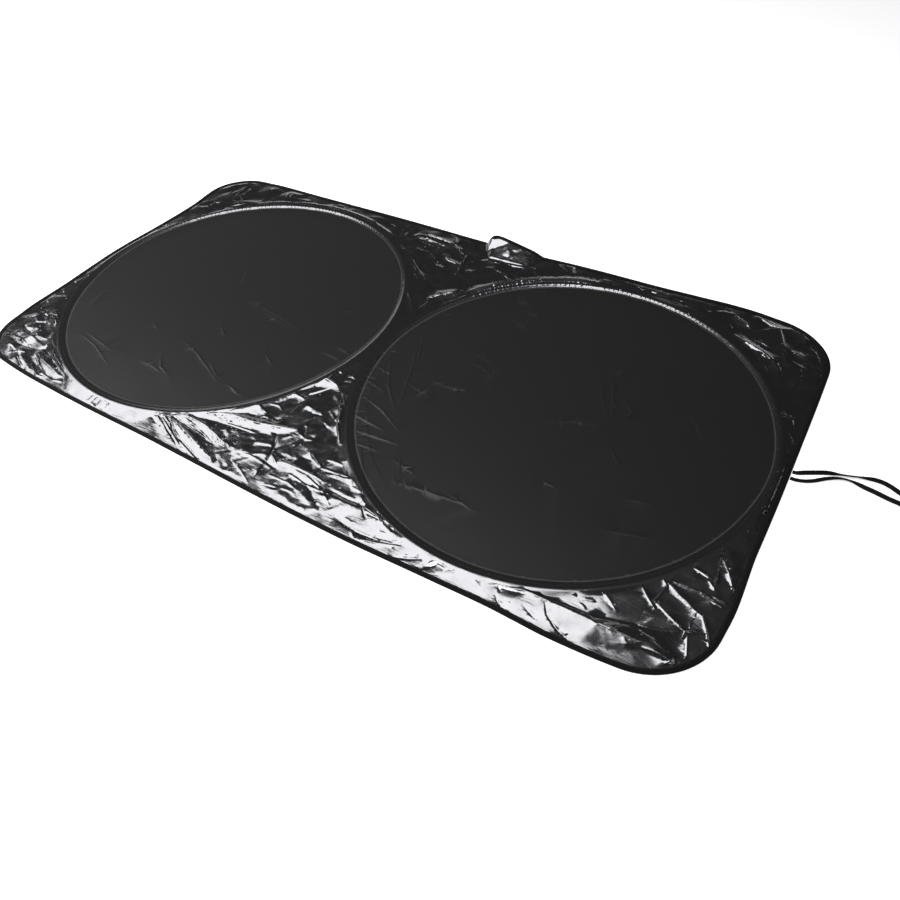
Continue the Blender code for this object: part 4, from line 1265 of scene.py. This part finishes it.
# The casing tape's section in millimetres: distance outwards from the wire's middle, and
# height above the floor.
CASING_SECTION = (
    (-8.4, 0.95), (-6.0, 1.95), (-3.4, 2.95), (-2.55, 3.0), (-2.4, 2.6), (-2.4, 0.5), (-2.0, 0.06),
    (-1.4, 0.0), (1.4, 0.0), (2.0, 0.06), (2.4, 0.5), (2.4, 3.3), (2.25, 3.7), (1.8, 3.78),
    (1.8, 1.0), (1.5, 0.62), (-1.5, 0.62), (-1.8, 1.0), (-1.8, 3.7), (-2.4, 3.72), (-3.4, 3.5),
    (-6.0, 2.5), (-8.4, 1.45),
)
CASING_SEAM = -7.2 * MM
# Points of the seam round a hoop, the height it is looked for from, and the thread's lift.
SEAM_STATIONS = 720
SEAM_ABOVE = 0.1
SEAM_LIFT = 0.15 * MM


class SUNSHADE_OT_casings(bpy.types.Operator):
    """Makes the tape casings round the wires, their stitches, and the wires' finish"""
    bl_idname = "sunshade.casings"
    bl_label = "Hoop casings"

    def execute(self, context):
        tape = context.scene.sunshade_tape
        woven = tape_material("casing_weave", tape.colour)
        thread = thread_material()
        steel = steel_material()
        film = bpy.data.objects["film"]
        for side, centre in zip(("left", "right"), HOOP_CENTRES):
            rings = []
            for station in range(tape.casing_stations):
                angle = 2 * math.pi * station / tape.casing_stations
                around = Vector((math.cos(angle), math.sin(angle), 0))
                middle = Vector((centre, HOOP_MIDDLE, 0)) + around * HOOP_RADIUS
                rings.append([middle + around * out * MM + Vector((0, 0, height * MM))
                              for out, height in CASING_SECTION])
            mesh = swept_mesh("casing_" + side, rings)
            mesh.materials.append(woven)
            item = add_object("casing_" + side, mesh)
            row = sewn_row("casing_stitches_" + side, seam_path(film, centre), True, thread)
            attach(item, "root")
            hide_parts("hoop_casing_" + side)
            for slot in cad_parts["hoop_" + side].material_slots:
                slot.material = steel
        return {"FINISHED"}


def seam_path(film, centre):
    """Points round a hoop on the film's top, where its casing is sewn on."""
    path = []
    radius = HOOP_RADIUS + CASING_SEAM
    for station in range(SEAM_STATIONS):
        angle = math.radians(station * 360 / SEAM_STATIONS)
        above = Vector((centre + radius * math.cos(angle),
                        HOOP_MIDDLE + radius * math.sin(angle), SEAM_ABOVE))
        hit, point, normal, index = film.ray_cast(above, Vector((0, 0, -1)))
        path.append(point + Vector((0, 0, SEAM_LIFT)))
    return path


# Points of the strap's curve.
STRAP_POINTS = 78
# The strap's line: X, Y, height of the middle in millimetres and its turn in degrees.
STRAP_ROUTE = (
    (750.8, 34, 1.1, 90), (757, 34.5, 1.6, 100), (765, 38, 2.9, 126), (774, 43, 3.0, 130),
    (785, 49, 3.0, 130), (796, 54.5, 2.9, 124), (805, 58, 2.3, 95), (814, 60.5, 2.4, 66),
    (826, 64, 2.5, 60), (838, 68, 2.5, 60), (849, 71, 2.3, 85), (860, 73.5, 2.4, 112),
    (872, 73, 2.7, 122), (884, 69.5, 2.7, 122), (897, 63, 2.7, 122), (911, 57.5, 3.2, 135),
    (926, 55.5, 3.9, 155), (941, 57, 4.2, 175), (952, 51, 4.2, 180), (956, 40, 4.2, 180),
    (950, 28.5, 4.2, 180), (937, 24.5, 4.2, 185), (924, 29.5, 4.0, 200), (911, 36.5, 3.5, 215),
    (899, 42, 3.3, 225), (886, 43.5, 3.3, 225), (874, 46, 3.3, 226), (862, 48.5, 3.2, 228),
    (850, 50.5, 3.0, 236), (840, 53.5, 2.3, 265), (830, 55, 2.3, 292), (819, 54, 2.3, 294),
    (808, 50, 1.9, 280), (797, 43, 1.5, 268), (785, 32.5, 1.5, 266), (774, 25, 1.4, 268),
    (763, 21, 1.2, 270), (757, 20, 1.1, 270), (750.8, 20, 1.1, 270),
)


def smooth_route(route, count):
    """Points along a smooth curve through the route, as four numbers each."""
    points = [Vector((x * MM, y * MM, z * MM, math.radians(turn))) for x, y, z, turn in route]
    result = []
    for step in range(count):
        place = step * (len(points) - 1) / (count - 1)
        index = min(int(place), len(points) - 2)
        share = place - index
        before = points[max(index - 1, 0)]
        start = points[index]
        end = points[index + 1]
        after = points[min(index + 2, len(points) - 1)]
        bend = (end - before) * 0.5
        lead = (after - start) * 0.5
        square = share * share
        cube = square * share
        result.append(start * (2 * cube - 3 * square + 1) + bend * (cube - 2 * square + share)
                      + end * (3 * square - 2 * cube) + lead * (cube - square))
    return result


class SUNSHADE_OT_strap(bpy.types.Operator):
    """Makes the elastic strap along its route"""
    bl_idname = "sunshade.strap"
    bl_label = "Strap"

    def execute(self, context):
        strap = context.scene.sunshade_strap
        curve = bpy.data.curves.new("elastic_strap", "CURVE")
        curve.dimensions = "3D"
        curve.twist_mode = "Z_UP"
        curve.bevel_depth = strap.thickness / 2
        curve.bevel_resolution = 3
        curve.extrude = (strap.width - strap.thickness) / 2
        curve.use_fill_caps = True
        route = smooth_route(STRAP_ROUTE, STRAP_POINTS)
        spline = curve.splines.new("POLY")
        spline.points.add(len(route) - 1)
        for point, (x, y, z, turn) in zip(spline.points, route):
            point.co = (x, y, z, 1.0)
            point.tilt = turn
        item = add_object("elastic_strap", curve)
        curve.materials.append(tape_material("elastic_rib", strap.colour))
        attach(item, "root")
        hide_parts("strap")
        return {"FINISHED"}


# The room's light by the upward part of its direction.
WORLD_LEVELS = ((0.0, 1.0), (0.12, 1.0), (0.28, 0.02), (0.7, 0.02), (0.9, 0.08))

CAMERA_TARGET = (0.2618, -0.1746, 0.0)
CAMERA_AZIMUTH = 35.50
CAMERA_ELEVATION = 47.10
CAMERA_ROLL = -5.41
CAMERA_LENS = 29.11
# Half the floor's side, how far it lies under the sheet, and its glow where a ray sees it.
FLOOR_HALF = 2.6
FLOOR_DROP = 0.0002
FLOOR_GLOW = 0.65
# The overhead light's sides and place.
KEY_SIDES = (4.0, 1.75)
KEY_PLACE = (-1.6, -0.425, 2.0)


class SUNSHADE_OT_stage(bpy.types.Operator):
    """Makes the floor, the lights, the world and the camera"""
    bl_idname = "sunshade.stage"
    bl_label = "Stage"

    def execute(self, context):
        self.add_floor()
        self.add_world()
        self.add_key()
        self.add_camera()
        context.scene.view_settings.view_transform = "Standard"
        return {"FINISHED"}

    def add_floor(self):
        mesh = bpy.data.meshes.new("floor")
        corners = [(-FLOOR_HALF, -FLOOR_HALF, 0), (FLOOR_HALF, -FLOOR_HALF, 0),
                   (FLOOR_HALF, FLOOR_HALF, 0), (-FLOOR_HALF, FLOOR_HALF, 0)]
        mesh.from_pydata(corners, [], [(0, 1, 2, 3)])
        shader = Shader("pale_floor")
        colour = group("sunshade_stage").floor_colour
        shader.surface.inputs["Base Color"].default_value = (*colour, 1)
        shader.surface.inputs["Roughness"].default_value = 0.9
        shader.surface.inputs["Specular IOR Level"].default_value = 0.1
        ray = shader.node("ShaderNodeLightPath")
        seen = shader.math("MAXIMUM", ray.outputs["Is Camera Ray"], ray.outputs["Is Glossy Ray"])
        seen = shader.math("MAXIMUM", seen, ray.outputs["Is Transmission Ray"])
        shader.surface.inputs["Emission Color"].default_value = (1, 1, 1, 1)
        glow = shader.math("MULTIPLY", seen, FLOOR_GLOW)
        shader.feed(shader.surface.inputs["Emission Strength"], glow)
        mesh.materials.append(shader.material)
        item = add_object("floor", mesh)
        item.location.z = -FLOOR_DROP

    def add_world(self):
        world = bpy.data.worlds.new("studio")
        world.use_nodes = True
        tree = world.node_tree
        back = tree.nodes["Background"]
        place = tree.nodes.new("ShaderNodeTexCoord")
        split = tree.nodes.new("ShaderNodeSeparateXYZ")
        tree.links.new(place.outputs["Generated"], split.inputs[0])
        ramp = tree.nodes.new("ShaderNodeValToRGB")
        tree.links.new(split.outputs["Z"], ramp.inputs[0])
        stops = ramp.color_ramp.elements
        for place_z, level in WORLD_LEVELS[2:]:
            stops.new(place_z)
        for stop, (place_z, level) in zip(stops, WORLD_LEVELS):
            stop.position = place_z
            stop.color = (level, level, level, 1)
        tree.links.new(ramp.outputs[0], back.inputs["Color"])
        back.inputs["Strength"].default_value = 1.0
        bpy.context.scene.world = world

    def add_key(self):
        data = bpy.data.lights.new("overhead_softbox", "AREA")
        data.shape = "RECTANGLE"
        data.size, data.size_y = KEY_SIDES
        data.energy = group("sunshade_stage").key_power
        item = add_object("overhead_softbox", data)
        item.location = KEY_PLACE

    def add_camera(self):
        azimuth = math.radians(CAMERA_AZIMUTH)
        elevation = math.radians(CAMERA_ELEVATION)
        ahead = Vector((-math.sin(azimuth) * math.cos(elevation),
                        math.cos(azimuth) * math.cos(elevation), -math.sin(elevation)))
        data = bpy.data.cameras.new("photo_camera")
        data.sensor_width = 36
        data.lens = CAMERA_LENS
        item = add_object("photo_camera", data)
        item.location = Vector(CAMERA_TARGET) - ahead * group("sunshade_stage").camera_distance
        turn = ahead.to_track_quat("-Z", "Y").to_matrix().to_4x4()
        item.rotation_euler = (turn @ Matrix.Rotation(math.radians(CAMERA_ROLL), 4, "Z")).to_euler()
        bpy.context.scene.camera = item


class SUNSHADE_PT_panel(bpy.types.Panel):
    """Lists the sunshade's pieces"""
    bl_label = "Sunshade"
    bl_idname = "SUNSHADE_PT_panel"
    bl_space_type = "VIEW_3D"
    bl_region_type = "UI"
    bl_category = "Sunshade"

    def draw(self, context):
        for settings, operators in PIECES:
            for key in getattr(context.scene, settings).__annotations__:
                self.layout.prop(getattr(context.scene, settings), key)
            for operator in operators:
                self.layout.operator(operator.bl_idname)


PIECES = (
    ("sunshade_film", (SUNSHADE_OT_film,)),
    ("sunshade_tape", (SUNSHADE_OT_binding, SUNSHADE_OT_casings)),
    ("sunshade_strap", (SUNSHADE_OT_strap,)),
    ("sunshade_stage", (SUNSHADE_OT_stage,)),
)
SETTINGS = (
    ("sunshade_film", FilmSettings),
    ("sunshade_tape", TapeSettings),
    ("sunshade_strap", StrapSettings),
    ("sunshade_stage", StageSettings),
)
OPERATORS = tuple(operator for _, operators in PIECES for operator in operators)


def register():
    for name, settings in SETTINGS:
        bpy.utils.register_class(settings)
        setattr(bpy.types.Scene, name, bpy.props.PointerProperty(type=settings))
    for operator in OPERATORS:
        bpy.utils.register_class(operator)
    bpy.utils.register_class(SUNSHADE_PT_panel)


def unregister():
    bpy.utils.unregister_class(SUNSHADE_PT_panel)
    for operator in reversed(OPERATORS):
        bpy.utils.unregister_class(operator)
    for name, settings in reversed(SETTINGS):
        delattr(bpy.types.Scene, name)
        bpy.utils.unregister_class(settings)


def main():
    register()
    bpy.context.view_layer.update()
    bpy.ops.sunshade.stage()
    bpy.ops.sunshade.strap()
    bpy.ops.sunshade.film()
    bpy.ops.sunshade.binding()
    bpy.ops.sunshade.casings()


if __name__ == "__main__":
    main()
